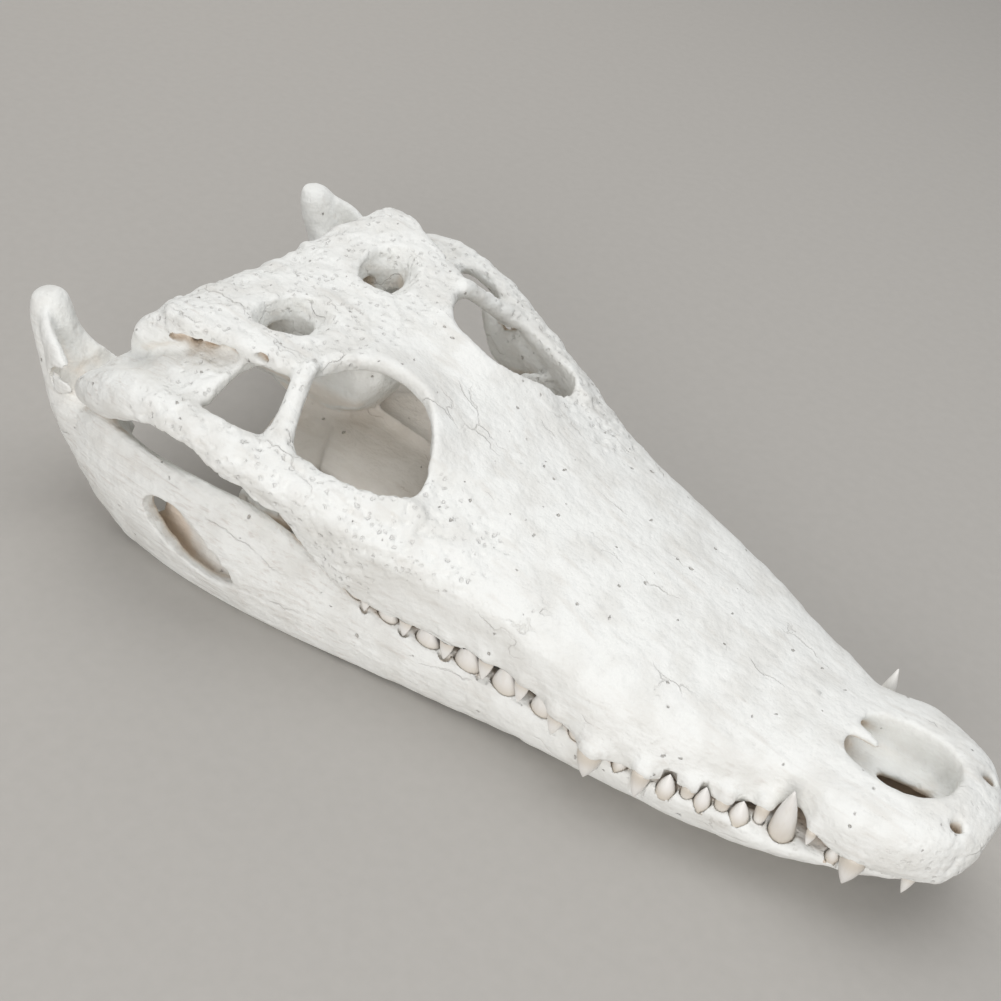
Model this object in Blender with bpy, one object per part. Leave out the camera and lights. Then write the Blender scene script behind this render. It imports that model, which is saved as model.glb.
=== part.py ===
"""Skull of a young crocodile, 0.25 m from the snout tip to the rear of the skull table, jaws closed.

The cranium and the two halves of the lower jaw are one solid each, with their teeth in them.
Places are given in millimetres as (s, y, z): s runs backwards from the snout tip, y to the side
and z up from the floor. Each shape is made for the animal's left side, and mirrored.
"""

import bmesh
import bpy
import numpy as np
from mathutils import Vector

MM = 0.001

# Driving dimensions, in millimetres.
MIDPOINT = 143.7            # snout tip to the middle of the length overall
HALF_WIDTH = 68.0           # middle plane to the outermost point of the cheek
SYMPHYSIS_GAP = 0.35        # between the two halves of the lower jaw
TOOTH_CLEARANCE = 0.9       # room left round a tooth of the other jaw
VOXEL = 1.1                 # grain at which overlapping shapes are fused
# How far the left hook stands forward, outward and down at height z: (z, x, y, z).
HOOK_LEAN = ((36, 0, 0, 0), (46, 3, 3, -0.6), (55, 2.2, 2.2, -1), (66, 0.6, 0.6, -1.2))
TRIANGLES = {"cranium": 3200, "mandible": 760}

# The lines below are drawn at this half width, and spread to HALF_WIDTH when they are placed.
DRAWN_HALF_WIDTH = 66.5
SPREAD = HALF_WIDTH / DRAWN_HALF_WIDTH

# Upper jaw, seen from above and from the side: (s, y, z) of lines that run along it.
MARGIN = (
    (0.4, 7.5, 26), (3, 13, 21.6), (8, 17.2, 20), (14, 20.8, 20), (22, 24, 20), (30, 25.6, 20.5),
    (36, 24.6, 22.4), (42.5, 22.5, 23.6), (48, 25.4, 21.2), (56, 30, 19.9), (66, 34, 19.8),
    (78, 38.5, 19.5), (90, 41.2, 18.8), (100, 40, 20.6), (107, 39.9, 23), (114, 40.2, 25),
    (122, 40.8, 25.4), (132, 41.8, 24.6), (146, 44.2, 24), (160, 46.8, 24.6), (170, 50, 26.5),
)
WALL = (
    (0.4, 8.5, 28.5), (8, 18.6, 27), (22, 25, 27.5), (30, 26.2, 28), (42.5, 22.6, 28.5), (56, 28.3, 27),
    (78, 37, 27.5), (90, 40, 28), (107, 40.2, 30), (128, 42, 33), (146, 45.5, 35.5), (160, 50, 39.5),
    (170, 53.6, 42),
)
SHOULDER = (
    (0.4, 6.5, 32), (8, 15.6, 34.2), (22, 21.8, 34.6), (30, 23.4, 34.2), (42.5, 20.6, 33.6),
    (56, 25, 33.8), (67, 27.8, 34.6), (78, 31, 36.4), (90, 33.6, 38.2), (107, 37.2, 40.4),
    (128, 40, 44.4), (146, 43.8, 47.8), (160, 48.6, 51.2), (170, 52, 53.2),
)
CROWN = (
    (0.4, 33.5), (4, 36), (12, 38.3), (24, 38), (42, 36.6), (56, 37.4), (78, 40.8), (90, 43.2),
    (114, 48), (130, 51.4), (150, 57.3), (170, 64.5),
)

# Skull roof: half its width, height of its middle and height of its edge.
ROOF = (
    (148, 17, 56.5, 55.5), (156, 22, 59.5, 58.8), (161, 26.5, 61.5, 61), (167, 22, 64, 65.2),
    (175, 16, 67, 70), (184, 14.6, 70, 72.5), (192, 17, 71.5, 73.8), (198, 23.5, 72.6, 74.5),
    (203, 34, 73.6, 74), (213, 38.3, 74.4, 75), (226, 42.5, 75, 76.6), (237, 46, 74.8, 77),
    (243, 44.5, 73.6, 76.4), (247, 41, 72, 74), (249.5, 35, 71, 72.4),
)

# Cheek, from the eye socket to the jaw joint: its upper, outermost and lower lines.
CHEEK_TOP = (
    (154, 36, 56.5), (161, 39.5, 58.6), (169, 43.5, 58), (179, 46.5, 58.4), (190, 49.6, 60.4),
    (202, 54, 63), (214, 57.4, 64.6), (228, 59.6, 65.4), (240, 58.8, 63.4), (252, 57, 57.5),
    (261, 55, 51),
)
CHEEK_OUTER = (
    (154, 46.5, 41), (169, 52.6, 47.4), (179, 56.4, 51), (190, 60, 54), (200, 62.6, 56.2),
    (209, 64.2, 57.8), (220, 65.4, 58.6), (230, 66.3, 57.6), (240, DRAWN_HALF_WIDTH, 55),
    (252, 64.6, 50.4), (261, 61.5, 47),
)
CHEEK_LOWER = (
    (154, 45.5, 22.6), (163, 48, 24.2), (172, 50.4, 28.4), (178, 51.2, 32), (184, 52.2, 37.4),
    (190, 54, 44), (196, 57, 47.6), (201, 60, 49.4), (207.5, 62.6, 52.8), (213, 63.2, 55.6),
    (219, 63.6, 56.6), (225, 63.6, 55.8), (232.6, 63.4, 53), (239, 62.9, 49), (247, 62, 44.8),
    (256, 60.4, 42), (264, 59, 41),
)
CHEEK_INNER = (
    (154, 39, 40), (169, 45, 45), (179, 49, 49), (190, 52.5, 53), (202, 55, 57), (214, 56, 59.4),
    (228, 56, 58), (240, 57, 54), (252, 57, 49), (264, 56, 45),
)

# Openings, seen from above: (s, y) round each one.
ORBIT = (
    (203, 37), (200, 29), (195.5, 20.6), (190, 16), (183, 14), (175, 14.2), (168, 19.4), (163.4, 25.6),
    (160.6, 31.4), (161, 36.6), (165.4, 40.8), (174, 44.2), (184, 46.4), (192, 48), (197.6, 49.6),
    (201.5, 45),
)
TEMPORAL = (
    (200.5, 47), (200.9, 49.6), (202.8, 52.2), (206, 53.8), (210.6, 54.9), (214.5, 54.4), (216.6, 53),
    (217.8, 50.5), (218.3, 47.5), (218.8, 42), (218.4, 36), (217, 31), (214.5, 27), (210, 26.5),
    (205, 30), (203, 40),
)
ROOF_WINDOW = (
    (228, 19), (226.5, 25), (223, 27.4), (218.5, 25), (216.5, 20), (217, 14.8), (220, 12.2), (225.4, 12.8),
)
ROOF_RIM = (
    (228.8, 20), (227.4, 27.8), (222.5, 30.4), (215, 27.6), (208, 20.8), (206.4, 12.8), (213.8, 9),
    (224, 10.2),
)
NARIS = (
    (40.4, 5), (38, 8.4), (31.5, 10.8), (24, 10.9), (17.4, 8.8), (13.2, 4), (13.2, -4), (17.4, -8.8),
    (24, -10.9), (31.5, -10.8), (38, -8.4), (40.4, -5),
)
PALATE_WINDOW = (
    (152, 32.5), (158, 29.4), (172, 28.4), (188, 28.4), (201, 30), (200, 35), (188, 38.6), (168, 38),
    (156, 36),
)

# Lower jaw: its outer wall, lower edge and inner wall.
JAW_RIM = (
    (7, 10, 18), (14, 16, 18.2), (24, 22.5, 18), (34, 26, 17), (42, 29, 16.8), (50, 32, 18),
    (57, 34.4, 18.3), (64, 36.4, 18.2), (72, 38, 18), (80, 39, 17.4), (86, 38.6, 17),
    (92, 38, 16.8), (110, 39.4, 17.8), (128, 42, 18.8), (150, 45, 19.8), (165, 47.2, 21.6),
    (172, 48.3, 24.2), (178, 49.2, 27), (188, 51, 31), (198, 53.4, 34.4), (208, 55.8, 36.2),
    (220, 57.6, 36.6), (232, 59, 36.6), (244, 60, 38), (254, 60, 39.4), (262, 59, 36.5), (270, 58, 35),
)
JAW_OUTER = (
    (7, 9.5, 16), (14, 13, 12), (24, 17, 9.5), (34, 21.6, 8.5), (42, 26, 8.4), (64, 33, 8.2),
    (92, 38, 8.2), (110, 40.4, 8.6), (128, 43, 9), (150, 47.2, 9.6), (168, 50.8, 10.6), (188, 55.6, 14),
    (208, 60.6, 18), (228, 62.6, 20), (250, 62, 20), (262, 60.5, 22), (270, 58.5, 25),
)
JAW_KEEL = (
    (7, 3.5, 14.5), (14, 4.5, 8.5), (24, 6.5, 3.6), (34, 10.5, 1.2), (42, 14, 0.3), (52, 18, -0.4),
    (64, 22.2, -0.4), (92, 30.2, 0.6), (128, 39, 1), (150, 44.4, 0.6), (168, 48.4, 0.2),
    (188, 52.4, -0.3), (208, 55.4, -0.6), (232, 56.8, -0.6), (246, 56.4, 0.6), (256, 55.4, 3.6),
    (264, 54.5, 9), (270, 53.5, 14.5),
)
JAW_INNER = (
    (7, 0, 16), (42, 0, 10), (50, 3.5, 9.5), (56, 10.5, 9), (64, 19, 9), (92, 26.5, 9), (128, 32.4, 9),
    (168, 40, 12), (188, 42.5, 16), (208, 45, 20), (232, 46.5, 21), (256, 46, 22), (270, 46, 24),
)
JAW_WINDOW = (
    (232, 24.5), (229, 28.2), (222, 28.6), (214, 25.8), (206, 20.4), (200, 14.6), (202.4, 11.4),
    (211, 11), (221, 14), (228.5, 19),
)

# Teeth: (s, y, length, radius at the gum), and for the lower ones how far the tip leans outward.
UPPER_TEETH = (
    (11.4, 15.6, 7.4, 2), (24, 22, 9.4, 3.5), (35, 25.2, 3.4, 1.4), (47.8, 26.4, 8, 1.9),
    (56.6, 30.6, 8, 2), (65, 33.4, 7.4, 1.9), (76.4, 37.6, 8, 2.6), (90, 40.4, 8.6, 3.6),
    (102.4, 39.4, 6, 2.6), (114, 39.4, 6.6, 2.4), (125.4, 40.2, 6.4, 2.5), (137.4, 41.6, 6, 2.4),
    (150.2, 43.4, 5.4, 2.2), (162.6, 45.4, 4.4, 1.9),
)
LOWER_TEETH = (
    (9.4, 8.4, 14.2, 1.3, 1.1), (17.5, 16.5, 5, 1.6, 0.3), (28.8, 22.6, 3.4, 1.8, 0.3),
    (42, 24.8, 18, 3.4, 3.4), (52, 29.6, 5.6, 2.7, 0.3), (61, 32.8, 5.8, 2.3, 0.3),
    (70, 35.4, 5.4, 2.5, 0.3), (83, 36.4, 4, 2.2, 0.3), (96.6, 36.4, 5.4, 2.9, 0.5),
    (108.2, 37, 7.6, 3.5, 0.8), (119.8, 38.2, 9, 4, 0.8), (131.4, 39.4, 8.6, 4.2, 0.8),
    (144, 41, 7, 4, 0.8), (156.8, 42.6, 6, 3.6, 0.8), (168, 44.4, 4.8, 3, 0.6),
)
FLATNESS = 0.55             # width across over width along, of the rear teeth
CROWN_SHAPE = ((-0.1, 0.95), (0.48, 0.74), (1, 0.14))     # rise and size of its rings
ROOM_SHAPE = ((-0.1, 1.0), (1, 0.6))                      # of the room left for a tooth


def along(line, s):
    """The other values of a line of (s, ...) points at station s, on a smooth curve through them."""
    table = np.array(line, float)
    knots = table[:, 0]
    slopes = np.gradient(table[:, 1:], knots, axis=0)
    i = int(np.clip(np.searchsorted(knots, s) - 1, 0, len(knots) - 2))
    span = knots[i + 1] - knots[i]
    t = min(max((s - knots[i]) / span, 0.0), 1.0)
    start, end = table[i, 1:], table[i + 1, 1:]
    blend = t * t * (3 - 2 * t)
    bow = t * (1 - t) * ((1 - t) * slopes[i] - t * slopes[i + 1]) * span
    return start + (end - start) * blend + bow


def rounded(points, steps, closed=False):
    """A smooth curve through the points, with this many steps between two of them."""
    points = [np.array(p, float) for p in points]
    count = len(points)
    curve = []
    for i in range(count if closed else count - 1):
        p1, p2 = points[i], points[(i + 1) % count]
        p0 = points[i - 1] if closed or i else 2 * p1 - p2
        p3 = points[(i + 2) % count] if closed or i + 2 < count else 2 * p2 - p1
        for k in range(steps):
            t = k / steps
            curve.append(
                0.5 * (2 * p1 + (p2 - p0) * t + (2 * p0 - 5 * p1 + 4 * p2 - p3) * t ** 2
                       + (3 * p1 - p0 - 3 * p2 + p3) * t ** 3)
            )
    if not closed:
        curve.append(points[-1])
    return curve


def place(point):
    """Model position, in metres, of an (s, y, z) place in millimetres."""
    s, y, z = point
    return Vector((MIDPOINT - s, y * SPREAD, z)) * MM


def add_object(name, mesh):
    obj = bpy.data.objects.new(name, mesh)
    bpy.context.scene.collection.objects.link(obj)
    return obj


def loft(name, rings):
    """A closed body through rings of (s, y, z) places, capped at both ends."""
    bm = bmesh.new()
    loops = [[bm.verts.new(place(p)) for p in ring] for ring in rings]
    count = len(loops[0])
    for first, second in zip(loops, loops[1:]):
        for k in range(count):
            bm.faces.new((first[k], first[(k + 1) % count], second[(k + 1) % count], second[k]))
    bm.faces.new(loops[0])
    bm.faces.new(loops[-1])
    bmesh.ops.triangulate(bm, faces=[f for f in bm.faces if len(f.verts) > 4])
    bmesh.ops.recalc_face_normals(bm, faces=bm.faces)
    mesh = bpy.data.meshes.new(name)
    bm.to_mesh(mesh)
    bm.free()
    return add_object(name, mesh)


def mirror_copy(obj):
    """A copy of the object on the other side of the middle plane."""
    mesh = obj.data.copy()
    bm = bmesh.new()
    bm.from_mesh(mesh)
    bmesh.ops.scale(bm, vec=(1, -1, 1), verts=bm.verts)
    bmesh.ops.reverse_faces(bm, faces=bm.faces)
    bm.to_mesh(mesh)
    bm.free()
    return add_object(obj.name + "_mirrored", mesh)


def both(obj):
    return [obj, mirror_copy(obj)]


def bar(name, path, upright=(0, 0, 1), steps=5, sides=12):
    """A rounded bar along (s, y, z, half width, half height) places, with this direction as its height."""
    stations = rounded(path, steps)
    rings = []
    for i, station in enumerate(stations):
        ahead = stations[min(i + 1, len(stations) - 1)][:3] - stations[max(i - 1, 0)][:3]
        ahead /= np.linalg.norm(ahead)
        across = np.cross(upright, ahead)
        across /= np.linalg.norm(across)
        upward = np.cross(ahead, across)
        ring = []
        for k in range(sides):
            angle = 2 * np.pi * k / sides
            offset = across * station[3] * np.cos(angle) + upward * station[4] * np.sin(angle)
            ring.append(station[:3] + offset)
        rings.append(ring)
    return loft(name, rings)


def ball(name, centre, radii):
    """An ellipsoid of these (s, y, z) radii."""
    bm = bmesh.new()
    bmesh.ops.create_uvsphere(bm, u_segments=20, v_segments=12, radius=1)
    bmesh.ops.scale(bm, vec=Vector(radii) * MM, verts=bm.verts)
    bmesh.ops.translate(bm, vec=place(centre), verts=bm.verts)
    mesh = bpy.data.meshes.new(name)
    bm.to_mesh(mesh)
    bm.free()
    return add_object(name, mesh)


def shaft(name, outline, low, high, flare=1.0):
    """An upright cutter through a smooth (s, y) outline, widened by the flare at its top."""
    curve = np.array(rounded(outline, 4, closed=True))
    middle = curve.mean(axis=0)
    rings = []
    for z, factor in ((low, 1.0), ((low + high) / 2, 1.0), (high, flare)):
        rings.append([(*(middle + (p - middle) * factor), z) for p in curve])
    return loft(name, rings)


def funnel(name, hole, rim):
    """A cutter for an opening of the roof: upright through the hole, then sloping out to the rim."""
    hole, rim = (np.array(rounded(outline, 4, closed=True)) for outline in (hole, rim))
    middle = rim.mean(axis=0)
    between = hole * 0.45 + rim * 0.55
    above = middle + (rim - middle) * 1.2
    levels = ((62, hole), (69.5, hole), (73, between), (75.6, rim), (80, above))
    return loft(name, [[(s, y, z) for s, y in outline] for z, outline in levels])


def apply_modifiers(obj):
    graph = bpy.context.evaluated_depsgraph_get()
    mesh = bpy.data.meshes.new_from_object(obj.evaluated_get(graph))
    obj.modifiers.clear()
    obj.data = mesh


def gather(name, pieces):
    """The pieces as one object, their shapes unchanged."""
    bm = bmesh.new()
    for piece in pieces:
        bm.from_mesh(piece.data)
        bpy.data.objects.remove(piece)
    mesh = bpy.data.meshes.new(name)
    bm.to_mesh(mesh)
    bm.free()
    return add_object(name, mesh)


def fuse(name, pieces, smoothing, voxel=VOXEL):
    """One body made of overlapping pieces, with its creases rounded."""
    body = gather(name, pieces)
    remesh = body.modifiers.new("Fuse", "REMESH")
    remesh.mode = "VOXEL"
    remesh.voxel_size = voxel * MM
    smooth = body.modifiers.new("Round", "SMOOTH")
    smooth.factor = 0.5
    smooth.iterations = smoothing
    apply_modifiers(body)
    return body


def combine(body, other, operation, solver="EXACT"):
    """Joins the other body to this one, or cuts it away."""
    modifier = body.modifiers.new(operation.title(), "BOOLEAN")
    modifier.operation = operation
    modifier.solver = solver
    modifier.object = other
    apply_modifiers(body)
    bpy.data.objects.remove(other)


def thin_out(body, triangles):
    body.data.calc_loop_triangles()
    decimate = body.modifiers.new("Facets", "DECIMATE")
    decimate.ratio = triangles / len(body.data.loop_triangles)
    apply_modifiers(body)


def upper_section(s):
    """Ring round the upper jaw at station s: up its outer face, over the top, and back along the palate."""
    margin, wall, shoulder = (along(line, s) for line in (MARGIN, WALL, SHOULDER))
    crown = along(CROWN, s)[0]
    ridge = (shoulder[0] * 0.5, shoulder[1] + (crown - shoulder[1]) * 0.78)
    shelf = min(1.0, s / 12)
    gum = (margin[0] * 0.84, margin[1] + 0.4 * shelf)
    vault = (margin[0] * 0.62, margin[1] + 3.5 * shelf)
    palate = margin[1] + 5 * shelf if s > 60 else 25
    half = rounded([margin, wall, shoulder, ridge, (0, crown)], 4)
    under = rounded([(0, palate), vault, gum, margin], 3)
    left = [(s, y, z) for y, z in half[:-1]]
    right = [(s, -y, z) for y, z in half[::-1]]
    right_under = [(s, -y, z) for y, z in under[::-1][1:]]
    left_under = [(s, y, z) for y, z in under[1:-1]]
    return left + right + right_under + left_under


def make_upper_jaw():
    stations = [0.4, 1.5, 3, 5.5, *np.arange(8, 170, 3.0), 170]
    return loft("upper_jaw", [upper_section(s) for s in stations])


def root_swellings():
    """Bone bulging round the roots of the upper teeth, which scallops the edge of the jaw."""
    return [
        ball("swelling", (s, y - 0.4, along(MARGIN, s)[1] + 2.7), (radius + 1.2, radius + 0.8, 3.2))
        for s, y, length, radius in UPPER_TEETH
    ]


def make_roof():
    rings = []
    for s in (*np.arange(148, 249, 2.5), 249.5):
        width, middle, edge = along(ROOF, s)
        thick = 5.5 + 2.5 * min(max((s - 195) / 15, 0), 1)
        between = (middle + edge) / 2
        half = rounded([(width, edge - thick / 2), (width - 1.5, edge), (width / 2, between), (0, middle)], 3)
        under = [(0, middle - thick), (width / 2, between - thick), (width - 2, edge - thick)]
        ring = [(s, y, z) for y, z in half[:-1]] + [(s, -y, z) for y, z in half[::-1]]
        ring += [(s, -y, z) for y, z in under[::-1]] + [(s, y, z) for y, z in under[1:]]
        rings.append(ring)
    return loft("roof", rings)


def make_cheek():
    rings = []
    for s in (*np.arange(154, 260, 3.0), 261):
        lines = (CHEEK_TOP, CHEEK_OUTER, CHEEK_LOWER, CHEEK_INNER)
        top, outer, lower, inner = (along(line, s) for line in lines)
        upper_half = (top + outer) / 2 + (1.6, 1.6)
        outside = rounded([top, upper_half, outer, lower], 3)
        inside = [lower + (-3.0, 0.8), inner, top + (-4.2, -2.0)]
        rings.append([(s, y, z) for y, z in [*outside, *inside]])
    return loft("cheek", rings)


def make_lamina():
    """The flange that hangs from the inner side of the cheek, below the eye socket."""
    path = (
        (168, 46.5, 46, 2, 7), (180, 48.5, 47, 2, 7), (190, 50, 47.2, 2.2, 7.5),
        (197, 51, 46, 2.6, 6.6), (203, 52.5, 49, 2, 5), (209, 55.5, 53.5, 1.6, 3.5),
    )
    return bar("lamina", path)


def make_quadrate():
    """The sloping plate from the ear region out to the jaw joint."""
    sections = (
        (206, (26, 70), (31, 70.4), (35, 70.6), 3.5),
        (212, (25, 66.8), (30, 68), (36, 68), 3.5),
        (216, (24, 68), (36, 69.4), (50, 64.5), 4),
        (219.5, (24, 68), (38, 69.4), (54.5, 63.4), 4.5),
        (223, (23, 67.5), (40, 69), (57, 62.8), 5),
        (230, (22, 66.5), (38, 68.2), (58, 61.5), 7),
        (240, (24, 64), (40, 65), (59, 60), 9),
        (250, (30, 59.5), (44, 58), (58, 55.4), 9.5),
        (256, (36, 55.5), (48, 55), (59, 52.4), 8.5),
        (260.5, (39, 51.5), (48, 51.5), (58.5, 49.5), 5.5),
    )
    rings = []
    for s, inner, middle, outer, thick in sections:
        top = rounded([inner, middle, outer], 4)
        bottom = [(y, z - thick) for y, z in top[::-1]]
        rings.append([(s, y, z) for y, z in top + bottom])
    return loft("quadrate", rings)


def make_knuckle():
    """The two rounded ends of the quadrate, joined, that sit in the lower jaw's socket."""
    path = (
        (258, 60, 46.6, 3.6, 3.4), (258.6, 57, 46.8, 4.8, 4.6), (258, 49, 46.8, 4.4, 4.2),
        (257.5, 42, 47, 4.8, 4.4), (257, 38, 47.4, 3.6, 3.2),
    )
    return bar("knuckle", path)


def make_skull_back():
    """Braincase, rear plate, its side wings and the ball that carried the neck."""
    sections = (
        (198, 5, 54, 70), (203, 10, 44, 71), (214, 11, 40, 72), (228, 13, 42, 72),
        (240, 20, 46, 72), (248, 25, 50, 70), (250.5, 22, 53, 67),
    )
    rings = []
    for s, width, low, high in sections:
        side = [(width, low + 3), (width * 1.05, (low + high) / 2), (width, high)]
        profile = [*side, (0, high), *[(-y, z) for y, z in side[::-1]], (0, low)]
        rings.append([(s, y, z) for y, z in rounded(profile, 2, closed=True)])
    case = loft("braincase", rings)
    wing_path = (
        (246, 16, 62, 3.4, 9), (249.5, 30, 62.5, 3.2, 8.5),
        (251.5, 38, 61, 3.4, 8), (252, 43, 59.6, 3.2, 6.6), (252, 47, 59.4, 2.8, 6.2),
    )
    prong_path = ((238, 42, 71, 4, 4.5), (244, 43.5, 68.5, 4, 5), (250, 45.5, 63, 3.5, 5))
    neck_ball = ball("neck_ball", (252, 0, 52), (5.5, 6.5, 5.2))
    return [case, neck_ball, *both(bar("wing", wing_path)), *both(bar("prong", prong_path))]


def make_palate():
    """Bar along the middle of the palate, wings behind it and struts at its sides."""
    sections = (
        (140, 20, 24, 35), (160, 26, 27, 38), (178, 27, 30, 39), (192, 26, 31, 40),
        (199, 26, 31, 40.6), (204, 20, 31.5, 41), (208, 13, 32, 42), (220, 12, 34, 44), (234, 12, 38, 48),
    )
    crest_path = ((206, 0, 42.5, 0.9, 2), (190, 0, 41.6, 0.9, 2), (165, 0, 39.6, 0.9, 1.8))
    rings = []
    for s, width, low, high in sections:
        side = [(width, (low + high) / 2), (width * 0.9, high - 1), (1.5, high)]
        profile = [*side, (0, high + 0.8), *[(-y, z) for y, z in side[::-1]], (0, low)]
        rings.append([(s, y, z) for y, z in rounded(profile, 2, closed=True)])
    middle = loft("palate_bar", rings)
    wing_path = (
        (216, 10, 37, 13, 2.6), (213, 24, 33, 12, 2.4), (209, 33, 28, 10, 2.4), (207, 38.5, 24, 8, 2.4),
    )
    rim_path = (
        (194, 38.5, 28.5, 2, 3), (201, 40, 25, 2.8, 4.6), (209, 40.6, 23, 2.8, 5.2), (217, 39, 23.5, 2, 3.6),
    )
    strut_path = (
        (166, 46.5, 43, 3.2, 8), (174, 45, 42, 3, 8.5), (181, 42, 40, 2.8, 7.5), (188, 39, 36.5, 2.8, 6),
        (194, 37.6, 32, 2.8, 5), (200, 38, 28, 2.8, 4.4),
    )
    pillar_path = ((160, 13, 60, 3, 5), (162, 11.5, 50, 2.2, 3.5), (163, 11, 38, 3, 5))
    wing = bar("palate_wing", wing_path, upright=(0, 0.35, 1))
    rim = bar("wing_rim", rim_path)
    strut = bar("strut", strut_path)
    pillar = bar("pillar", pillar_path, upright=(1, 0, 0))
    crest = bar("palate_crest", crest_path)
    return [middle, crest, *both(wing), *both(rim), *both(strut), *both(pillar)]


def make_eye_bar():
    """The bar behind the eye socket, from the skull table down to the cheek."""
    path = (
        (203.5, 31, 73, 4.5, 3), (201, 35.5, 70, 3, 2.8), (198.8, 40.5, 65.8, 2.8, 2.8),
        (197, 45.5, 61.5, 4, 3), (195.5, 50, 58, 7, 3.5),
    )
    return bar("eye_bar", path, upright=(0, 0.7, 0.7))


def tooth(name, s, y, gum, length, radius, lean, way, shape, sides=6):
    """A cone from the gum at this height, of (rise, size) rings; way is -1 for one that points down."""
    rings = []
    for rise, size in shape:
        shift = lean * max(rise, 0)
        angles = 2 * np.pi * np.arange(sides) / sides
        long, across = radius * size, radius * size * (FLATNESS if s > 90 else 1)
        rings.append([
            (s + long * np.cos(a), y + shift + across * np.sin(a), gum + way * rise * length) for a in angles
        ])
    return loft(name, rings)


def upper_teeth(extra=0.0, shape=CROWN_SHAPE):
    return [
        tooth("upper", s, y, along(MARGIN, s)[1] + 1.5, length + 1.5 + extra, radius + extra, 0.7, -1, shape)
        for s, y, length, radius in UPPER_TEETH
    ]


def lower_teeth(extra=0.0, shape=CROWN_SHAPE):
    return [
        tooth("lower", s, y, along(JAW_RIM, s)[1] - 1.5, length + 1.5 + extra, radius + extra, lean, 1, shape)
        for s, y, length, radius, lean in LOWER_TEETH
    ]


def set_teeth(bone, own, facing):
    """Makes room for the other jaw's teeth and sets this jaw's own, where EXACT leaves the bone open."""
    combine(bone, gather("room", facing), "DIFFERENCE", "MANIFOLD")
    combine(bone, gather("teeth", own), "UNION", "MANIFOLD")


def make_cranium():
    """Shield of the skull with its openings, then the inner bones and the teeth."""
    plates = [make_upper_jaw(), make_roof(), *both(make_cheek()), *both(make_quadrate())]
    swellings = [half for one in root_swellings() for half in both(one)]
    shield = fuse("shield", plates + swellings, 4)
    cutters = [
        *both(shaft("orbit", ORBIT, 40, 90, 1.04)),
        *both(shaft("temporal", TEMPORAL, 20, 69)),
        *both(shaft("palate_window", PALATE_WINDOW, 10, 52)),
        *both(ball("orbit_hollow", (168, 24, 47), (26, 12, 9))),
        *both(ball("perforation", (8.2, 9.6, 33), (1.9, 1.9, 10))),
        shaft("naris", NARIS, 27.5, 45, 1.04),
        ball("nose_hollow", (43, 0, 31.5), (11, 8, 3)),
    ]
    for cutter in fuse_cutters(cutters):
        combine(shield, cutter, "DIFFERENCE")
    pieces = [shield, *make_skull_back(), *make_palate(), *both(make_eye_bar())]
    pieces += [*both(make_knuckle()), *both(make_lamina())]
    pieces.append(bar("nose_spur", ((46, 0, 34, 3, 2), (39, 0, 35.2, 2, 1.6), (33, 0, 34.4, 0.9, 0.9))))
    skull = fuse("skull", pieces, 3)
    windows = fuse_cutters([
        *both(funnel("roof_window", ROOF_WINDOW, ROOF_RIM)),
        *both(ball("ear", (227, 43.5, 69.4), (15, 5, 2.4))),
        ball("nape_notch", (262, 0, 75), (16.5, 30, 8)),
    ])
    for cutter in windows:
        combine(skull, cutter, "DIFFERENCE")
    skull = fuse("cranium", [skull], 2)
    thin_out(skull, TRIANGLES["cranium"])
    own = [t for upper in upper_teeth() for t in both(upper)]
    facing = [t for lower in lower_teeth(TOOTH_CLEARANCE, ROOM_SHAPE) for t in both(lower)]
    set_teeth(skull, own, facing)
    return skull


def fuse_cutters(pieces):
    return [fuse("cutter", pieces, 1, 0.8)]


def jaw_section(s):
    """Ring round the left half of the lower jaw at station s."""
    rim, outer, keel, inner = (along(line, s) for line in (JAW_RIM, JAW_OUTER, JAW_KEEL, JAW_INNER))
    slim = min(max((s - 174) / 12, 0), 1) * min(max((256 - s) / 8, 0), 1)
    thick = max(rim[0] - inner[0], 4) * 0.85 if s < 50 else 7.5 - 3 * slim
    rim_inner = (max(rim[0] - thick, inner[0]), rim[1] - 0.3)
    points = [rim, outer, keel, (keel + inner) / 2 - 1, inner, rim_inner]
    return [(s, y, z) for y, z in rounded(points, 4, closed=True)]


def make_jaw_end():
    """The process behind the jaw joint, its inner flange and spike, and the lip before it."""
    hook_path = (
        (258, 52.5, 24, 8.5, 12), (267, 51.8, 30, 8.8, 10.5), (274, 51.2, 38.5, 8.6, 7.5),
        (279, 51.2, 47.5, 7, 5.2), (282, 51.5, 56, 5.4, 4.2),
        (283.6, 51.6, 62, 4, 3.4), (284, 51.6, 65, 2, 2),
    )
    lip_path = ((266, 38, 38, 3.2, 4.5), (267.5, 46, 37.5, 4, 5), (268, 54, 36.5, 3.5, 5))
    flange_path = (
        (280, 48, 54, 2.4, 3), (277, 46.4, 48, 3, 3.6), (273, 44.6, 45, 3, 3.6),
        (269, 42.6, 44, 2.6, 3.4), (267, 40.4, 41, 2.4, 3),
    )
    crest_path = (
        (283, 55, 60, 1.6, 2.5), (279, 56, 58.5, 1.8, 3.5), (275, 58.2, 55.5, 2, 4.5),
        (270, 59.6, 50.5, 2.4, 6), (265, 60.2, 43, 3, 6),
    )
    spike_path = ((269, 44, 40, 3, 3.4), (268, 42.2, 45, 2, 2.2), (267.4, 41, 49.4, 1.3, 1.3))
    hook = bar("hook", hook_path, upright=(-1, 0, 0.6))
    spike = bar("spike", spike_path, upright=(1, 0, 0))
    return [hook, bar("lip", lip_path), bar("flange", flange_path), bar("crest", crest_path), spike]


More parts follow.
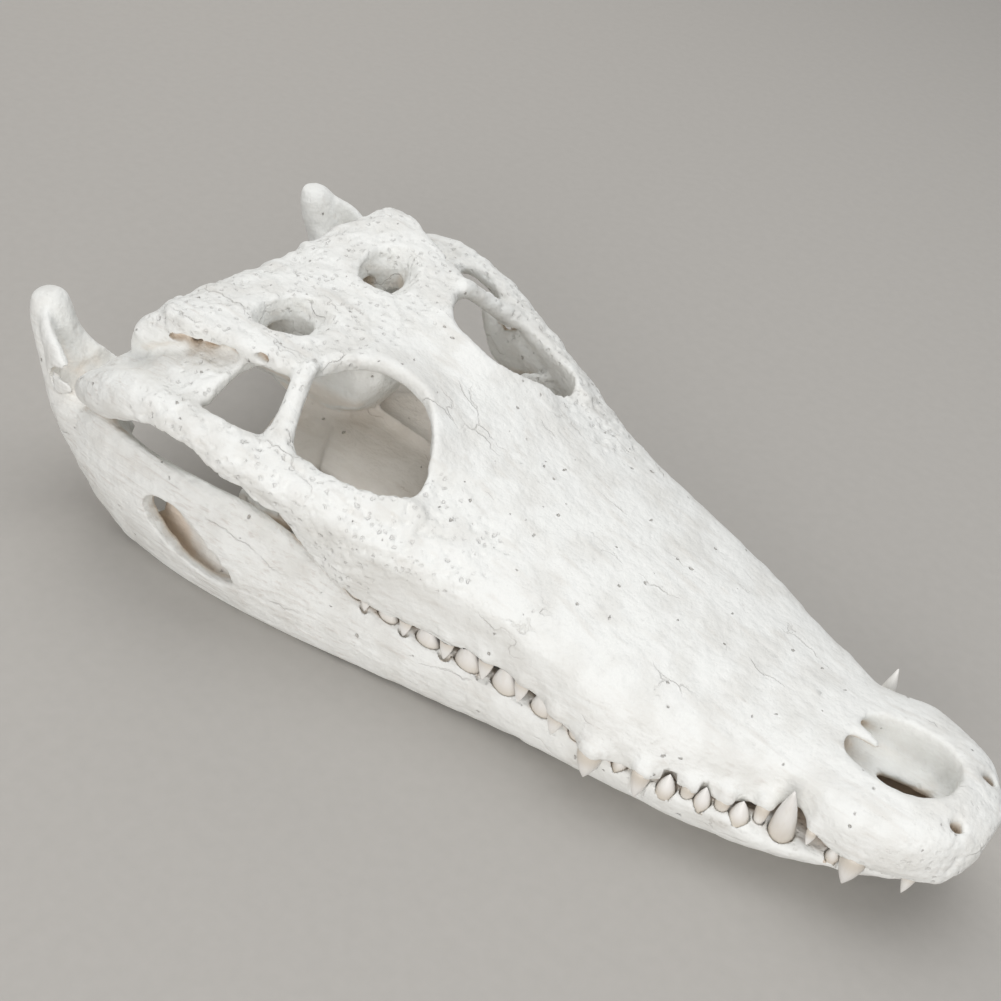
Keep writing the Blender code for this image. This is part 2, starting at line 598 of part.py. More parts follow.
def make_half_jaw():
    ramus = loft("ramus", [jaw_section(s) for s in (*np.arange(7, 270, 3.0), 270)])
    body = fuse("jaw", [ramus, *make_jaw_end()], 4)
    fossa = ball("fossa", (220, 55, 20), (23, 3, 13))
    window_outline = np.array(rounded(JAW_WINDOW, 4, closed=True))
    window = loft("window", [[(s, y, z) for s, z in window_outline] for y in (53, 60, 68)])
    inner_cut = ball("inner_cut", (223, 45.5, 41), (23, 9.6, 12))
    inner_window = ball("inner_window", (240, 48, 17), (7, 8, 7))
    socket_path = (
        (262.5, 61.5, 47, 8, 5), (263, 57, 47, 9, 6), (262.5, 49, 47, 8.6, 5.6),
        (262, 42, 47.2, 8.6, 5.8), (261.5, 36, 47.6, 7.4, 4.6),
    )
    socket = bar("socket", socket_path)
    for cutter in fuse_cutters([fossa, window, inner_cut, inner_window]) + fuse_cutters([socket]):
        combine(body, cutter, "DIFFERENCE")
    body = fuse("jaw", [body], 2)
    thin_out(body, TRIANGLES["mandible"])
    set_teeth(body, lower_teeth(), upper_teeth(TOOTH_CLEARANCE, ROOM_SHAPE))
    return body


def trim(body):
    """Cuts the half jaw flat where it meets the floor and the other half."""
    bm = bmesh.new()
    bm.from_mesh(body.data)
    for point, normal in ((Vector((0, 0, 0)), Vector((0, 0, 1))),
                          (Vector((0, SYMPHYSIS_GAP / 2 * MM, 0)), Vector((0, 1, 0)))):
        cut = bmesh.ops.bisect_plane(bm, geom=bm.verts[:] + bm.edges[:] + bm.faces[:], dist=1e-7,
                                     plane_co=point, plane_no=normal, clear_inner=True)
        edges = [e for e in cut["geom_cut"] if isinstance(e, bmesh.types.BMEdge)]
        bmesh.ops.edgeloop_fill(bm, edges=edges)
    bmesh.ops.triangulate(bm, faces=bm.faces)
    bmesh.ops.recalc_face_normals(bm, faces=bm.faces)
    bm.to_mesh(body.data)
    bm.free()


def splay(body):
    """Leans the rear process of the left half forward and outward, as it stands in this skull."""
    bm = bmesh.new()
    bm.from_mesh(body.data)
    for vert in bm.verts:
        behind = min(max((-vert.co.x / MM - 121) / 8, 0), 1)
        vert.co += Vector(along(HOOK_LEAN, vert.co.z / MM)) * behind * MM
    bm.to_mesh(body.data)
    bm.free()


def bone_material(name, colour):
    material = bpy.data.materials.new(name)
    material.use_nodes = True
    shader = material.node_tree.nodes["Principled BSDF"]
    shader.inputs["Base Color"].default_value = (*colour, 1)
    shader.inputs["Roughness"].default_value = 0.55
    shader.inputs["Metallic"].default_value = 0.0
    return material


def finish(body, name, material):
    body.name = name
    body.data.name = name
    body.data.materials.clear()
    body.data.materials.append(material)
    body.data.shade_smooth()
    body.data.set_sharp_from_angle(angle=0.9)


for leftover in list(bpy.data.objects):
    bpy.data.objects.remove(leftover)

cranium = make_cranium()
left_jaw = make_half_jaw()
trim(left_jaw)
right_jaw = mirror_copy(left_jaw)
splay(left_jaw)
finish(cranium, "cranium", bone_material("cranium_bone", (0.80, 0.78, 0.74)))
finish(left_jaw, "mandible_left", bone_material("mandible_left_bone", (0.79, 0.77, 0.72)))
finish(right_jaw, "mandible_right", bone_material("mandible_right_bone", (0.79, 0.77, 0.72)))
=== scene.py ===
"""Skull of a half-grown crocodile, 0.25 m from the snout tip to the rear of the skull table.

The real one is boiled, bleached and dried. The cranium lies in the sockets of the two halves of
the lower jaw, jaws closed, and the skull stands on the lower edges of the jaw.
"""

import bmesh
import bpy
import numpy as np
from mathutils import Matrix, Vector, noise
from mathutils.bvhtree import BVHTree


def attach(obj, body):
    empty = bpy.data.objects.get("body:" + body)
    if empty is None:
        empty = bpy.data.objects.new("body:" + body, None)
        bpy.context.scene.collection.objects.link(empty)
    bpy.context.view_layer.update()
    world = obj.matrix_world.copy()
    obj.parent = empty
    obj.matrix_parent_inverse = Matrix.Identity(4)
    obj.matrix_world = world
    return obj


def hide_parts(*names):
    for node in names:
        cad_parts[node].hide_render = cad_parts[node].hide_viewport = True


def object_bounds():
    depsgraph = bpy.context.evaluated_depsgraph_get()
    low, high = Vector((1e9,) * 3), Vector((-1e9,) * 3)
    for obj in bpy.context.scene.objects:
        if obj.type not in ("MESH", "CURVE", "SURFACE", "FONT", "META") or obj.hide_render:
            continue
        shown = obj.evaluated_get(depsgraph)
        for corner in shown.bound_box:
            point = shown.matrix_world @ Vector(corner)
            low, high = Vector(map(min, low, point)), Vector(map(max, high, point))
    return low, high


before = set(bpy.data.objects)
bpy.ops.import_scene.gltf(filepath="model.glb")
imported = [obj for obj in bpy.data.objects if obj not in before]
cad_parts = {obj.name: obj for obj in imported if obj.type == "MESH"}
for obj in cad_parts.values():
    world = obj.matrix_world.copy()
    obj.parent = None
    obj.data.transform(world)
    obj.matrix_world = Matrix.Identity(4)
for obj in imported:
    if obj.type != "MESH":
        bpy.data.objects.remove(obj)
cad_box = [list(corner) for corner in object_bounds()]


# The studio: the camera stands at the right of the snout and looks down on the skull, tilted a
# little. A pale sheet lies under it, and large soft lamps hang overhead and at the sides.
MM = 0.001
AIM = Vector((-13.62, 2.93, 35.01)) * MM
DISTANCE = 411.0 * MM
AZIMUTH = 0.54630
ELEVATION = 0.67981
ROLL = 0.19081
LENS_MM = 51.84
FLOOR_SIZE = 3.0

reach = np.cos(ELEVATION)
backward = Vector((np.sin(AZIMUTH) * reach, -np.cos(AZIMUTH) * reach, np.sin(ELEVATION)))
level = Vector((-backward.y, backward.x, 0)).normalized()
raised = backward.cross(level)
sideways = level * np.cos(ROLL) + raised * np.sin(ROLL)
upward = raised * np.cos(ROLL) - level * np.sin(ROLL)
camera = bpy.data.objects.new("camera", bpy.data.cameras.new("camera"))
bpy.context.scene.collection.objects.link(camera)
camera.data.lens = LENS_MM
camera.data.clip_start = 0.02
turn = Matrix((sideways, upward, backward)).transposed()
camera.matrix_world = Matrix.Translation(AIM + backward * DISTANCE) @ turn.to_4x4()
bpy.context.scene.camera = camera


def linear(code):
    """Linear RGBA of an sRGB hex colour."""
    values = np.array([int(code[i:i + 2], 16) for i in (1, 3, 5)]) / 255
    values = np.where(values <= 0.04045, values / 12.92, ((values + 0.055) / 1.055) ** 2.4)
    return (*values, 1.0)


def add_node(tree, kind, settings=(), inputs=()):
    """The outputs of a new node, its inputs given as values or as outputs of other nodes."""
    node = tree.nodes.new("ShaderNode" + kind)
    for name, value in dict(settings).items():
        setattr(node, name, value)
    for name, value in dict(inputs).items():
        if isinstance(value, bpy.types.NodeSocket):
            tree.links.new(value, node.inputs[name])
        else:
            node.inputs[name].default_value = value
    return node.outputs


def new_material(name):
    material = bpy.data.materials.new(name)
    material.use_nodes = True
    return material, material.node_tree, material.node_tree.nodes["Principled BSDF"]


# Backdrop paper: matt, pale warm grey, with a faint mottle of its pulp about 4 mm across.
PAPER_HEX = "#B9B6B1"
PAPER_DARK_HEX = "#B2AFAA"
PULP_SIZE = 4.0             # millimetres
paper, tree, shader = new_material("matt_backdrop_paper")
places = add_node(tree, "TexCoord")["Object"]
pulp = {"Vector": places, "Scale": 1 / (PULP_SIZE * MM), "Detail": 4.0}
pulp = add_node(tree, "TexNoise", inputs=pulp)["Fac"]
blend = {0: pulp, 6: linear(PAPER_DARK_HEX), 7: linear(PAPER_HEX)}
mottle = add_node(tree, "Mix", {"data_type": "RGBA"}, blend)[2]
tree.links.new(mottle, shader.inputs["Base Color"])
shader.inputs["Roughness"].default_value = 0.9
bpy.ops.object.select_all(action="DESELECT")
bpy.ops.mesh.primitive_plane_add(size=FLOOR_SIZE, location=(0, 0, 0))
floor = bpy.context.active_object
floor.name = "floor"
floor.data.materials.append(paper)

# Name, place in metres, size, watts and tint of each lamp.
LAMPS = (
    ("overhead", (0.05, 0.10, 0.95), 0.85, 4.2, "#FFFFFF"),
    ("right_bank", (0.34, -0.86, 0.34), 0.6, 4.9, "#FFFCFA"),
    ("rear_bank", (-0.75, 0.45, 0.60), 0.6, 1.8, "#FFF9F2"),
)
AMBIENT_HEX = "#F3F4F6"
AMBIENT_STRENGTH = 0.40
for name, spot, size, watts, tint in LAMPS:
    lamp = bpy.data.lights.new(name, "AREA")
    lamp.size = size
    lamp.energy = watts
    lamp.color = linear(tint)[:3]
    lamp_object = bpy.data.objects.new(name, lamp)
    bpy.context.scene.collection.objects.link(lamp_object)
    lamp_object.location = spot
    lamp_object.rotation_euler = (Vector(spot) - AIM).to_track_quat("Z", "Y").to_euler()
world = bpy.data.worlds.new("studio")
world.use_nodes = True
background = world.node_tree.nodes["Background"]
background.inputs["Color"].default_value = linear(AMBIENT_HEX)
background.inputs["Strength"].default_value = AMBIENT_STRENGTH
bpy.context.scene.world = world
bpy.context.scene.view_settings.view_transform = "Standard"


# The upper jaw and snout, bone a few millimetres thick round the nose. Its lines run along it as
# (s, y, z) millimetres: s back from the snout tip, y to the side and z up from the floor.
MIDPOINT = 143.7            # snout tip to the middle of the length overall
SPREAD = 68.0 / 66.5        # the lines are drawn at half widths up to 66.5, and spread to 68
VOXEL = 0.75                # grain of the finished bone
CUTTER_VOXEL = 0.6
MARGIN = (
    (0.4, 7.5, 26), (3, 13, 21.6), (8, 17.2, 20), (14, 20.8, 20), (22, 24, 20), (30, 25.6, 20.5),
    (36, 24.6, 22.4), (42.5, 22.5, 23.6), (48, 25.4, 21.2), (56, 30, 19.9), (66, 34, 19.8),
    (78, 38.5, 19.5), (90, 41.2, 18.8), (100, 40, 20.6), (107, 39.9, 23), (114, 40.2, 25),
    (122, 40.8, 25.4), (132, 41.8, 24.6), (146, 44.2, 24), (160, 46.8, 24.6), (170, 50, 26.5),
)
WALL = (
    (0.4, 8.5, 28.5), (8, 18.6, 27), (22, 25, 27.5), (30, 26.2, 28), (42.5, 22.6, 28.5), (56, 28.3, 27),
    (78, 37, 27.5), (90, 40, 28), (107, 40.2, 30), (128, 42, 33), (146, 45.5, 35.5), (160, 50, 39.5),
    (170, 53.6, 42),
)
SHOULDER = (
    (0.4, 6.5, 32), (8, 15.6, 34.2), (22, 21.8, 34.6), (30, 23.4, 34.2), (42.5, 20.6, 33.6),
    (56, 25, 33.8), (67, 27.8, 34.6), (78, 31, 36.4), (90, 33.6, 38.2), (107, 37.2, 40.4),
    (128, 40, 44.4), (146, 43.8, 47.8), (160, 48.6, 51.2), (170, 52, 53.2),
)
CROWN = (
    (0.4, 33.5), (4, 36), (12, 38.3), (24, 38), (42, 36.6), (56, 37.4), (78, 40.8), (90, 43.2),
    (114, 48), (130, 51.4), (150, 57.3), (170, 64.5),
)


def along(line, s):
    """The other values of a line of (s, ...) points at station s, on a smooth curve through them."""
    table = np.array(line, float)
    knots = table[:, 0]
    slopes = np.gradient(table[:, 1:], knots, axis=0)
    i = int(np.clip(np.searchsorted(knots, s) - 1, 0, len(knots) - 2))
    span = knots[i + 1] - knots[i]
    t = min(max((s - knots[i]) / span, 0.0), 1.0)
    start, end = table[i, 1:], table[i + 1, 1:]
    blend = t * t * (3 - 2 * t)
    bow = t * (1 - t) * ((1 - t) * slopes[i] - t * slopes[i + 1]) * span
    return start + (end - start) * blend + bow


def rounded(points, steps, closed=False):
    """A smooth curve through the points, with this many steps between two of them."""
    points = [np.array(p, float) for p in points]
    count = len(points)
    curve = []
    for i in range(count if closed else count - 1):
        p1, p2 = points[i], points[(i + 1) % count]
        p0 = points[i - 1] if closed or i else 2 * p1 - p2
        p3 = points[(i + 2) % count] if closed or i + 2 < count else 2 * p2 - p1
        for k in range(steps):
            t = k / steps
            curve.append(
                0.5 * (2 * p1 + (p2 - p0) * t + (2 * p0 - 5 * p1 + 4 * p2 - p3) * t ** 2
                       + (3 * p1 - p0 - 3 * p2 + p3) * t ** 3)
            )
    if not closed:
        curve.append(points[-1])
    return curve


def place(point):
    """Model position, in metres, of an (s, y, z) place in millimetres."""
    s, y, z = point
    return Vector((MIDPOINT - s, y * SPREAD, z)) * MM


def add_object(name, mesh):
    obj = bpy.data.objects.new(name, mesh)
    bpy.context.scene.collection.objects.link(obj)
    return obj


def loft(name, rings):
    """A closed body through rings of (s, y, z) places, capped at both ends."""
    bm = bmesh.new()
    loops = [[bm.verts.new(place(p)) for p in ring] for ring in rings]
    count = len(loops[0])
    for first, second in zip(loops, loops[1:]):
        for k in range(count):
            bm.faces.new((first[k], first[(k + 1) % count], second[(k + 1) % count], second[k]))
    bm.faces.new(loops[0])
    bm.faces.new(loops[-1])
    bmesh.ops.triangulate(bm, faces=[f for f in bm.faces if len(f.verts) > 4])
    bmesh.ops.recalc_face_normals(bm, faces=bm.faces)
    mesh = bpy.data.meshes.new(name)
    bm.to_mesh(mesh)
    bm.free()
    return add_object(name, mesh)


def upper_section(s):
    """Ring round the upper jaw at station s: its outer face, the top, and back along the palate."""
    margin, wall, shoulder = (along(line, s) for line in (MARGIN, WALL, SHOULDER))
    crown = along(CROWN, s)[0]
    ridge = (shoulder[0] * 0.5, shoulder[1] + (crown - shoulder[1]) * 0.78)
    shelf = min(1.0, s / 12)
    gum = (margin[0] * 0.84, margin[1] + 0.4 * shelf)
    vault = (margin[0] * 0.62, margin[1] + 3.5 * shelf)
    palate = margin[1] + 5 * shelf if s > 60 else 25
    half = rounded([margin, wall, shoulder, ridge, (0, crown)], 8)
    under = rounded([(0, palate), vault, gum, margin], 5)
    left = [(s, y, z) for y, z in half[:-1]]
    right = [(s, -y, z) for y, z in half[::-1]]
    right_under = [(s, -y, z) for y, z in under[::-1][1:]]
    left_under = [(s, y, z) for y, z in under[1:-1]]
    return left + right + right_under + left_under


upper_stations = (0.4, 1, 2, 3, 4.2, 5.6, *np.arange(7.2, 170, 1.6), 170)
upper_jaw = loft("upper_jaw", [upper_section(s) for s in upper_stations])

# The skull roof and the cheeks: plates of bone, rough on top, that frame the eye sockets and the
# temporal openings. Half width, height of the middle and height of the edge along the roof.
ROOF = (
    (148, 17, 56.5, 55.5), (156, 22, 59.5, 58.8), (161, 26.5, 61.5, 61), (167, 22, 64, 65.2),
    (175, 16, 67, 70), (184, 14.6, 70, 72.5), (192, 17, 71.5, 73.8), (198, 23.5, 72.6, 74.5),
    (203, 34, 73.6, 74), (213, 38.3, 74.4, 75), (226, 42.5, 75, 76.6), (237, 46, 74.8, 77),
    (243, 44.5, 73.6, 76.4), (247, 41, 72, 74), (249.5, 35, 71, 72.4),
)
CHEEK_TOP = (
    (154, 36, 56.5), (161, 39.5, 58.6), (169, 43.5, 58), (179, 46.5, 58.4), (190, 49.6, 60.4),
    (202, 54, 63), (214, 57.4, 64.6), (228, 59.6, 65.4), (240, 58.8, 63.4), (252, 57, 57.5),
    (261, 55, 51),
)
CHEEK_OUTER = (
    (154, 46.5, 41), (169, 52.6, 47.4), (179, 56.4, 51), (190, 60, 54), (200, 62.6, 56.2),
    (209, 64.2, 57.8), (220, 65.4, 58.6), (230, 66.3, 57.6), (240, 66.5, 55),
    (252, 64.6, 50.4), (261, 61.5, 47),
)
CHEEK_LOWER = (
    (154, 45.5, 22.6), (163, 48, 24.2), (172, 50.4, 28.4), (178, 51.2, 32), (184, 52.2, 37.4),
    (190, 54, 44), (196, 57, 47.6), (201, 60, 49.4), (207.5, 62.6, 52.8), (213, 63.2, 55.6),
    (219, 63.6, 56.6), (225, 63.6, 55.8), (232.6, 63.4, 53), (239, 62.9, 49), (247, 62, 44.8),
    (256, 60.4, 42), (264, 59, 41),
)
CHEEK_INNER = (
    (154, 39, 40), (169, 45, 45), (179, 49, 49), (190, 52.5, 53), (202, 55, 57), (214, 56, 59.4),
    (228, 56, 58), (240, 57, 54), (252, 57, 49), (264, 56, 45),
)


def mirror_copy(obj):
    """A copy of the object on the other side of the middle plane."""
    mesh = obj.data.copy()
    bm = bmesh.new()
    bm.from_mesh(mesh)
    bmesh.ops.scale(bm, vec=(1, -1, 1), verts=bm.verts)
    bmesh.ops.reverse_faces(bm, faces=bm.faces)
    bm.to_mesh(mesh)
    bm.free()
    return add_object(obj.name + "_mirrored", mesh)


def both(obj):
    return [obj, mirror_copy(obj)]


def roof_section(s):
    width, middle, edge = along(ROOF, s)
    thick = 5.5 + 2.5 * min(max((s - 195) / 15, 0), 1)
    between = (middle + edge) / 2
    half = rounded([(width, edge - thick / 2), (width - 1.5, edge), (width / 2, between), (0, middle)], 6)
    under = [(0, middle - thick), (width / 2, between - thick), (width - 2, edge - thick)]
    ring = [(s, y, z) for y, z in half[:-1]] + [(s, -y, z) for y, z in half[::-1]]
    return ring + [(s, -y, z) for y, z in under[::-1]] + [(s, y, z) for y, z in under[1:]]


def cheek_section(s):
    lines = (CHEEK_TOP, CHEEK_OUTER, CHEEK_LOWER, CHEEK_INNER)
    top, outer, lower, inner = (along(line, s) for line in lines)
    upper_half = (top + outer) / 2 + (1.6, 1.6)
    outside = rounded([top, upper_half, outer, lower], 6)
    inside = [lower + (-3.0, 0.8), inner, top + (-4.2, -2.0)]
    return [(s, y, z) for y, z in [*outside, *inside]]


roof = loft("roof", [roof_section(s) for s in (*np.arange(148, 249, 1.5), 249.5)])
cheek = loft("cheek", [cheek_section(s) for s in (*np.arange(154, 260.5, 1.5), 261)])

# The quadrate: a sloping plate from the ear region out to the jaw joint, with two rounded ends.
QUADRATE = (
    (206, (26, 70), (31, 70.4), (35, 70.6), 3.5),
    (212, (25, 66.8), (30, 68), (36, 68), 3.5),
    (216, (24, 68), (36, 69.4), (50, 64.5), 4),
    (219.5, (24, 68), (38, 69.4), (54.5, 63.4), 4.5),
    (223, (23, 67.5), (40, 69), (57, 62.8), 5),
    (230, (22, 66.5), (38, 68.2), (58, 61.5), 7),
    (240, (24, 64), (40, 65), (59, 60), 9),
    (250, (30, 59.5), (44, 58), (58, 55.4), 9.5),
    (256, (36, 55.5), (48, 55), (59, 52.4), 8.5),
    (260.5, (39, 51.5), (48, 51.5), (58.5, 49.5), 5.5),
)
LAMINA = (
    (168, 46.5, 46, 2, 7), (180, 48.5, 47, 2, 7), (190, 50, 47.2, 2.2, 7.5),
    (197, 51, 46, 2.6, 6.6), (203, 52.5, 49, 2, 5), (209, 55.5, 53.5, 1.6, 3.5),
)
KNUCKLE = (
    (258, 60, 46.6, 3.6, 3.4), (258.6, 57, 46.8, 4.8, 4.6), (258, 49, 46.8, 4.4, 4.2),
    (257.5, 42, 47, 4.8, 4.4), (257, 38, 47.4, 3.6, 3.2),
)


def bar(name, path, upright=(0, 0, 1), steps=8, sides=20):
    """A rounded bar along (s, y, z, half width, half height) places, its height in this direction."""
    stations = rounded(path, steps)
    rings = []
    for i, station in enumerate(stations):
        ahead = stations[min(i + 1, len(stations) - 1)][:3] - stations[max(i - 1, 0)][:3]
        ahead /= np.linalg.norm(ahead)
        across = np.cross(upright, ahead)
        across /= np.linalg.norm(across)
        over = np.cross(ahead, across)
        ring = []
        for k in range(sides):
            angle = 2 * np.pi * k / sides
            offset = across * station[3] * np.cos(angle) + over * station[4] * np.sin(angle)
            ring.append(station[:3] + offset)
        rings.append(ring)
    return loft(name, rings)


lamina = bar("lamina", LAMINA)
rings = []
for s, inner, middle, outer, thick in QUADRATE:
    top = rounded([inner, middle, outer], 6)
    rings.append([(s, y, z) for y, z in top] + [(s, y, z - thick) for y, z in top[::-1]])
quadrate = loft("quadrate", rings)
knuckle = bar("knuckle", KNUCKLE)

# The braincase and the rear of the skull: a hollow box of thick bone with side wings, and the
# ball that carried the neck.
BRAINCASE = (
    (198, 5, 54, 70), (203, 10, 44, 71), (214, 11, 40, 72), (228, 13, 42, 72),
    (240, 20, 46, 72), (248, 25, 50, 70), (250.5, 22, 53, 67),
)
REAR_WING = (
    (246, 16, 62, 3.4, 9), (249.5, 30, 62.5, 3.2, 8.5),
    (251.5, 38, 61, 3.4, 8), (252, 43, 59.6, 3.2, 6.6), (252, 47, 59.4, 2.8, 6.2),
)
PRONG = ((238, 42, 71, 4, 4.5), (244, 43.5, 68.5, 4, 5), (250, 45.5, 63, 3.5, 5))


def ball(name, centre, radii):
    """An ellipsoid of these (s, y, z) radii."""
    bm = bmesh.new()
    bmesh.ops.create_uvsphere(bm, u_segments=48, v_segments=24, radius=1)
    bmesh.ops.scale(bm, vec=Vector(radii) * MM, verts=bm.verts)
    bmesh.ops.translate(bm, vec=place(centre), verts=bm.verts)
    mesh = bpy.data.meshes.new(name)
    bm.to_mesh(mesh)
    bm.free()
    return add_object(name, mesh)


rings = []
for s, width, low, high in BRAINCASE:
    side = [(width, low + 3), (width * 1.05, (low + high) / 2), (width, high)]
    profile = [*side, (0, high), *[(-y, z) for y, z in side[::-1]], (0, low)]
    rings.append([(s, y, z) for y, z in rounded(profile, 4, closed=True)])
braincase = loft("braincase", rings)
neck_ball = ball("neck_ball", (252, 0, 52), (5.5, 6.5, 5.2))
rear_wing = bar("rear_wing", REAR_WING)
prong = bar("prong", PRONG)

# The palate inside the skull: a bar along the middle, the two wings behind it with thick rims,
# and struts out to the cheeks.
PALATE = (
    (140, 20, 24, 35), (160, 26, 27, 38), (178, 27, 30, 39), (192, 26, 31, 40),
    (199, 26, 31, 40.6), (204, 20, 31.5, 41), (208, 13, 32, 42), (220, 12, 34, 44), (234, 12, 38, 48),
)
PALATE_CREST = ((206, 0, 42.5, 0.9, 2), (190, 0, 41.6, 0.9, 2), (165, 0, 39.6, 0.9, 1.8))
PALATE_WING = (
    (216, 10, 37, 13, 2.6), (213, 24, 33, 12, 2.4), (209, 33, 28, 10, 2.4), (207, 38.5, 24, 8, 2.4),
)
WING_RIM = (
    (194, 38.5, 28.5, 2, 3), (201, 40, 25, 2.8, 4.6), (209, 40.6, 23, 2.8, 5.2), (217, 39, 23.5, 2, 3.6),
)
STRUT = (
    (166, 46.5, 43, 3.2, 8), (174, 45, 42, 3, 8.5), (181, 42, 40, 2.8, 7.5), (188, 39, 36.5, 2.8, 6),
    (194, 37.6, 32, 2.8, 5), (200, 38, 28, 2.8, 4.4),
)
PILLAR = ((160, 13, 60, 3, 5), (162, 11.5, 50, 2.2, 3.5), (163, 11, 38, 3, 5))
rings = []
for s, width, low, high in PALATE:
    side = [(width, (low + high) / 2), (width * 0.9, high - 1), (1.5, high)]
    profile = [*side, (0, high + 0.8), *[(-y, z) for y, z in side[::-1]], (0, low)]
    rings.append([(s, y, z) for y, z in rounded(profile, 4, closed=True)])
palate = loft("palate", rings)
palate_crest = bar("palate_crest", PALATE_CREST)
palate_wing = bar("palate_wing", PALATE_WING, upright=(0, 0.35, 1))
wing_rim = bar("wing_rim", WING_RIM)
strut = bar("strut", STRUT)
pillar = bar("pillar", PILLAR, upright=(1, 0, 0))

# The bar behind the eye socket, from the roof down to the cheek, and the spur in the nostril.
EYE_BAR = (
    (203.5, 31, 73, 4.5, 3), (201, 35.5, 70, 3, 2.8), (198.8, 40.5, 65.8, 2.8, 2.8),
    (197, 45.5, 61.5, 4, 3), (195.5, 50, 58, 7, 3.5),
)
NOSE_SPUR = ((46, 0, 34, 3, 2), (39, 0, 35.2, 2, 1.6), (33, 0, 34.4, 0.9, 0.9))
NOSE_SLIT = (
    (31, -0.4, 27, 1, 2.4), (26, 0, 25.6, 1.7, 4), (21, 1, 25.6, 1.6, 4), (16.4, 3, 27, 0.9, 2.4),
)
eye_bar = bar("eye_bar", EYE_BAR, upright=(0, 0.7, 0.7))
nose_spur = bar("nose_spur", NOSE_SPUR)

# The openings of the cranium, each seen from above as (s, y) round it.
ORBIT = (
    (203, 37), (200, 29), (195.5, 20.6), (190, 16), (183, 14), (175, 14.2), (168, 19.4), (163.4, 25.6),
    (160.6, 31.4), (161, 36.6), (165.4, 40.8), (174, 44.2), (184, 46.4), (192, 48), (197.6, 49.6),
    (201.5, 45),
)
TEMPORAL = (
    (200.5, 47), (200.9, 49.6), (202.8, 52.2), (206, 53.8), (210.6, 54.9), (214.5, 54.4), (216.6, 53),
    (217.8, 50.5), (218.3, 47.5), (218.8, 42), (218.4, 36), (217, 31), (214.5, 27), (210, 26.5),
    (205, 30), (203, 40),
)
ROOF_WINDOW = (
    (228, 19), (226.5, 25), (223, 27.4), (218.5, 25), (216.5, 20), (217, 14.8), (220, 12.2),
    (225.4, 12.8),
)
ROOF_RIM = (
    (228.8, 20), (227.4, 27.8), (222.5, 30.4), (215, 27.6), (208, 20.8), (206.4, 12.8), (213.8, 9),
    (224, 10.2),
)
NARIS = (
    (40.4, 5), (38, 8.4), (31.5, 10.8), (24, 10.9), (17.4, 8.8), (13.2, 4), (13.2, -4), (17.4, -8.8),
    (24, -10.9), (31.5, -10.8), (38, -8.4), (40.4, -5),
)
PALATE_WINDOW = (
    (152, 32.5), (158, 29.4), (172, 28.4), (188, 28.4), (201, 30), (200, 35), (188, 38.6), (168, 38),
    (156, 36),
)


def shaft(name, outline, low, high, flare=1.0):
    """An upright cutter through a smooth (s, y) outline, widened by the flare at its top."""
    curve = np.array(rounded(outline, 8, closed=True))
    middle = curve.mean(axis=0)
    rings = []
    for z, factor in ((low, 1.0), ((low + high) / 2, 1.0), (high, flare)):
        rings.append([(*(middle + (p - middle) * factor), z) for p in curve])
    return loft(name, rings)


def funnel(name, hole, rim):
    """A cutter for an opening of the roof: upright through the hole, then sloping out to the rim."""
    hole, rim = (np.array(rounded(outline, 8, closed=True)) for outline in (hole, rim))
    middle = rim.mean(axis=0)
    between = hole * 0.45 + rim * 0.55
    above = middle + (rim - middle) * 1.2
    levels = ((62, hole), (69.5, hole), (73, between), (75.6, rim), (80, above))
    return loft(name, [[(s, y, z) for s, y in outline] for z, outline in levels])


def apply_modifiers(obj):
    bpy.ops.object.select_all(action="DESELECT")
    bpy.context.view_layer.objects.active = obj
    for modifier in list(obj.modifiers):
        bpy.ops.object.modifier_apply(modifier=modifier.name)


def gather(name, pieces):
    """The pieces as one object, their shapes unchanged."""
    bm = bmesh.new()
    for piece in pieces:
        bm.from_mesh(piece.data)
        bpy.data.objects.remove(piece)
    mesh = bpy.data.meshes.new(name)
    bm.to_mesh(mesh)
    bm.free()
    return add_object(name, mesh)


def fuse(name, pieces, smoothing, voxel=VOXEL):
    """One body made of overlapping pieces, with its creases rounded."""
    body = gather(name, pieces)
    remesh = body.modifiers.new("Fuse", "REMESH")
    remesh.mode = "VOXEL"
    remesh.voxel_size = voxel * MM
    smooth = body.modifiers.new("Round", "SMOOTH")
    smooth.factor = 0.5
    smooth.iterations = smoothing
    apply_modifiers(body)
    return body


def cut_away(body, cutter):
    modifier = body.modifiers.new("Cut", "BOOLEAN")
    modifier.operation = "DIFFERENCE"
    modifier.solver = "MANIFOLD"
    modifier.object = cutter
    apply_modifiers(body)
    bpy.data.objects.remove(cutter)


def fused_cutter(cutters):
    return fuse("cutter", cutters, smoothing=2, voxel=CUTTER_VOXEL)


# Bone bulges round the roots of the upper teeth, and scallops the edge of the jaw. Their table
# holds (s, y, length, radius at the gum). The bone is fused, and its openings are then cut.
UPPER_TEETH = (
    (11.4, 15.6, 7.4, 2), (24, 22, 9.4, 3.5), (35, 25.2, 3.4, 1.4), (47.8, 26.4, 8, 1.9),
    (56.6, 30.6, 8, 2), (65, 33.4, 7.4, 1.9), (76.4, 37.6, 8, 2.6), (90, 40.4, 8.6, 3.6),
    (102.4, 39.4, 6, 2.6), (114, 39.4, 6.6, 2.4), (125.4, 40.2, 6.4, 2.5), (137.4, 41.6, 6, 2.4),
    (150.2, 43.4, 5.4, 2.2), (162.6, 45.4, 4.4, 1.9),
)
swellings = [
    ball("swelling", (s, y - 0.4, along(MARGIN, s)[1] + 2.7), (radius + 1.2, radius + 0.8, 3.2))
    for s, y, _, radius in UPPER_TEETH
]
plates = [upper_jaw, roof, *both(cheek), *both(quadrate)]
shield = fuse("shield", plates + [half for one in swellings for half in both(one)], smoothing=9)
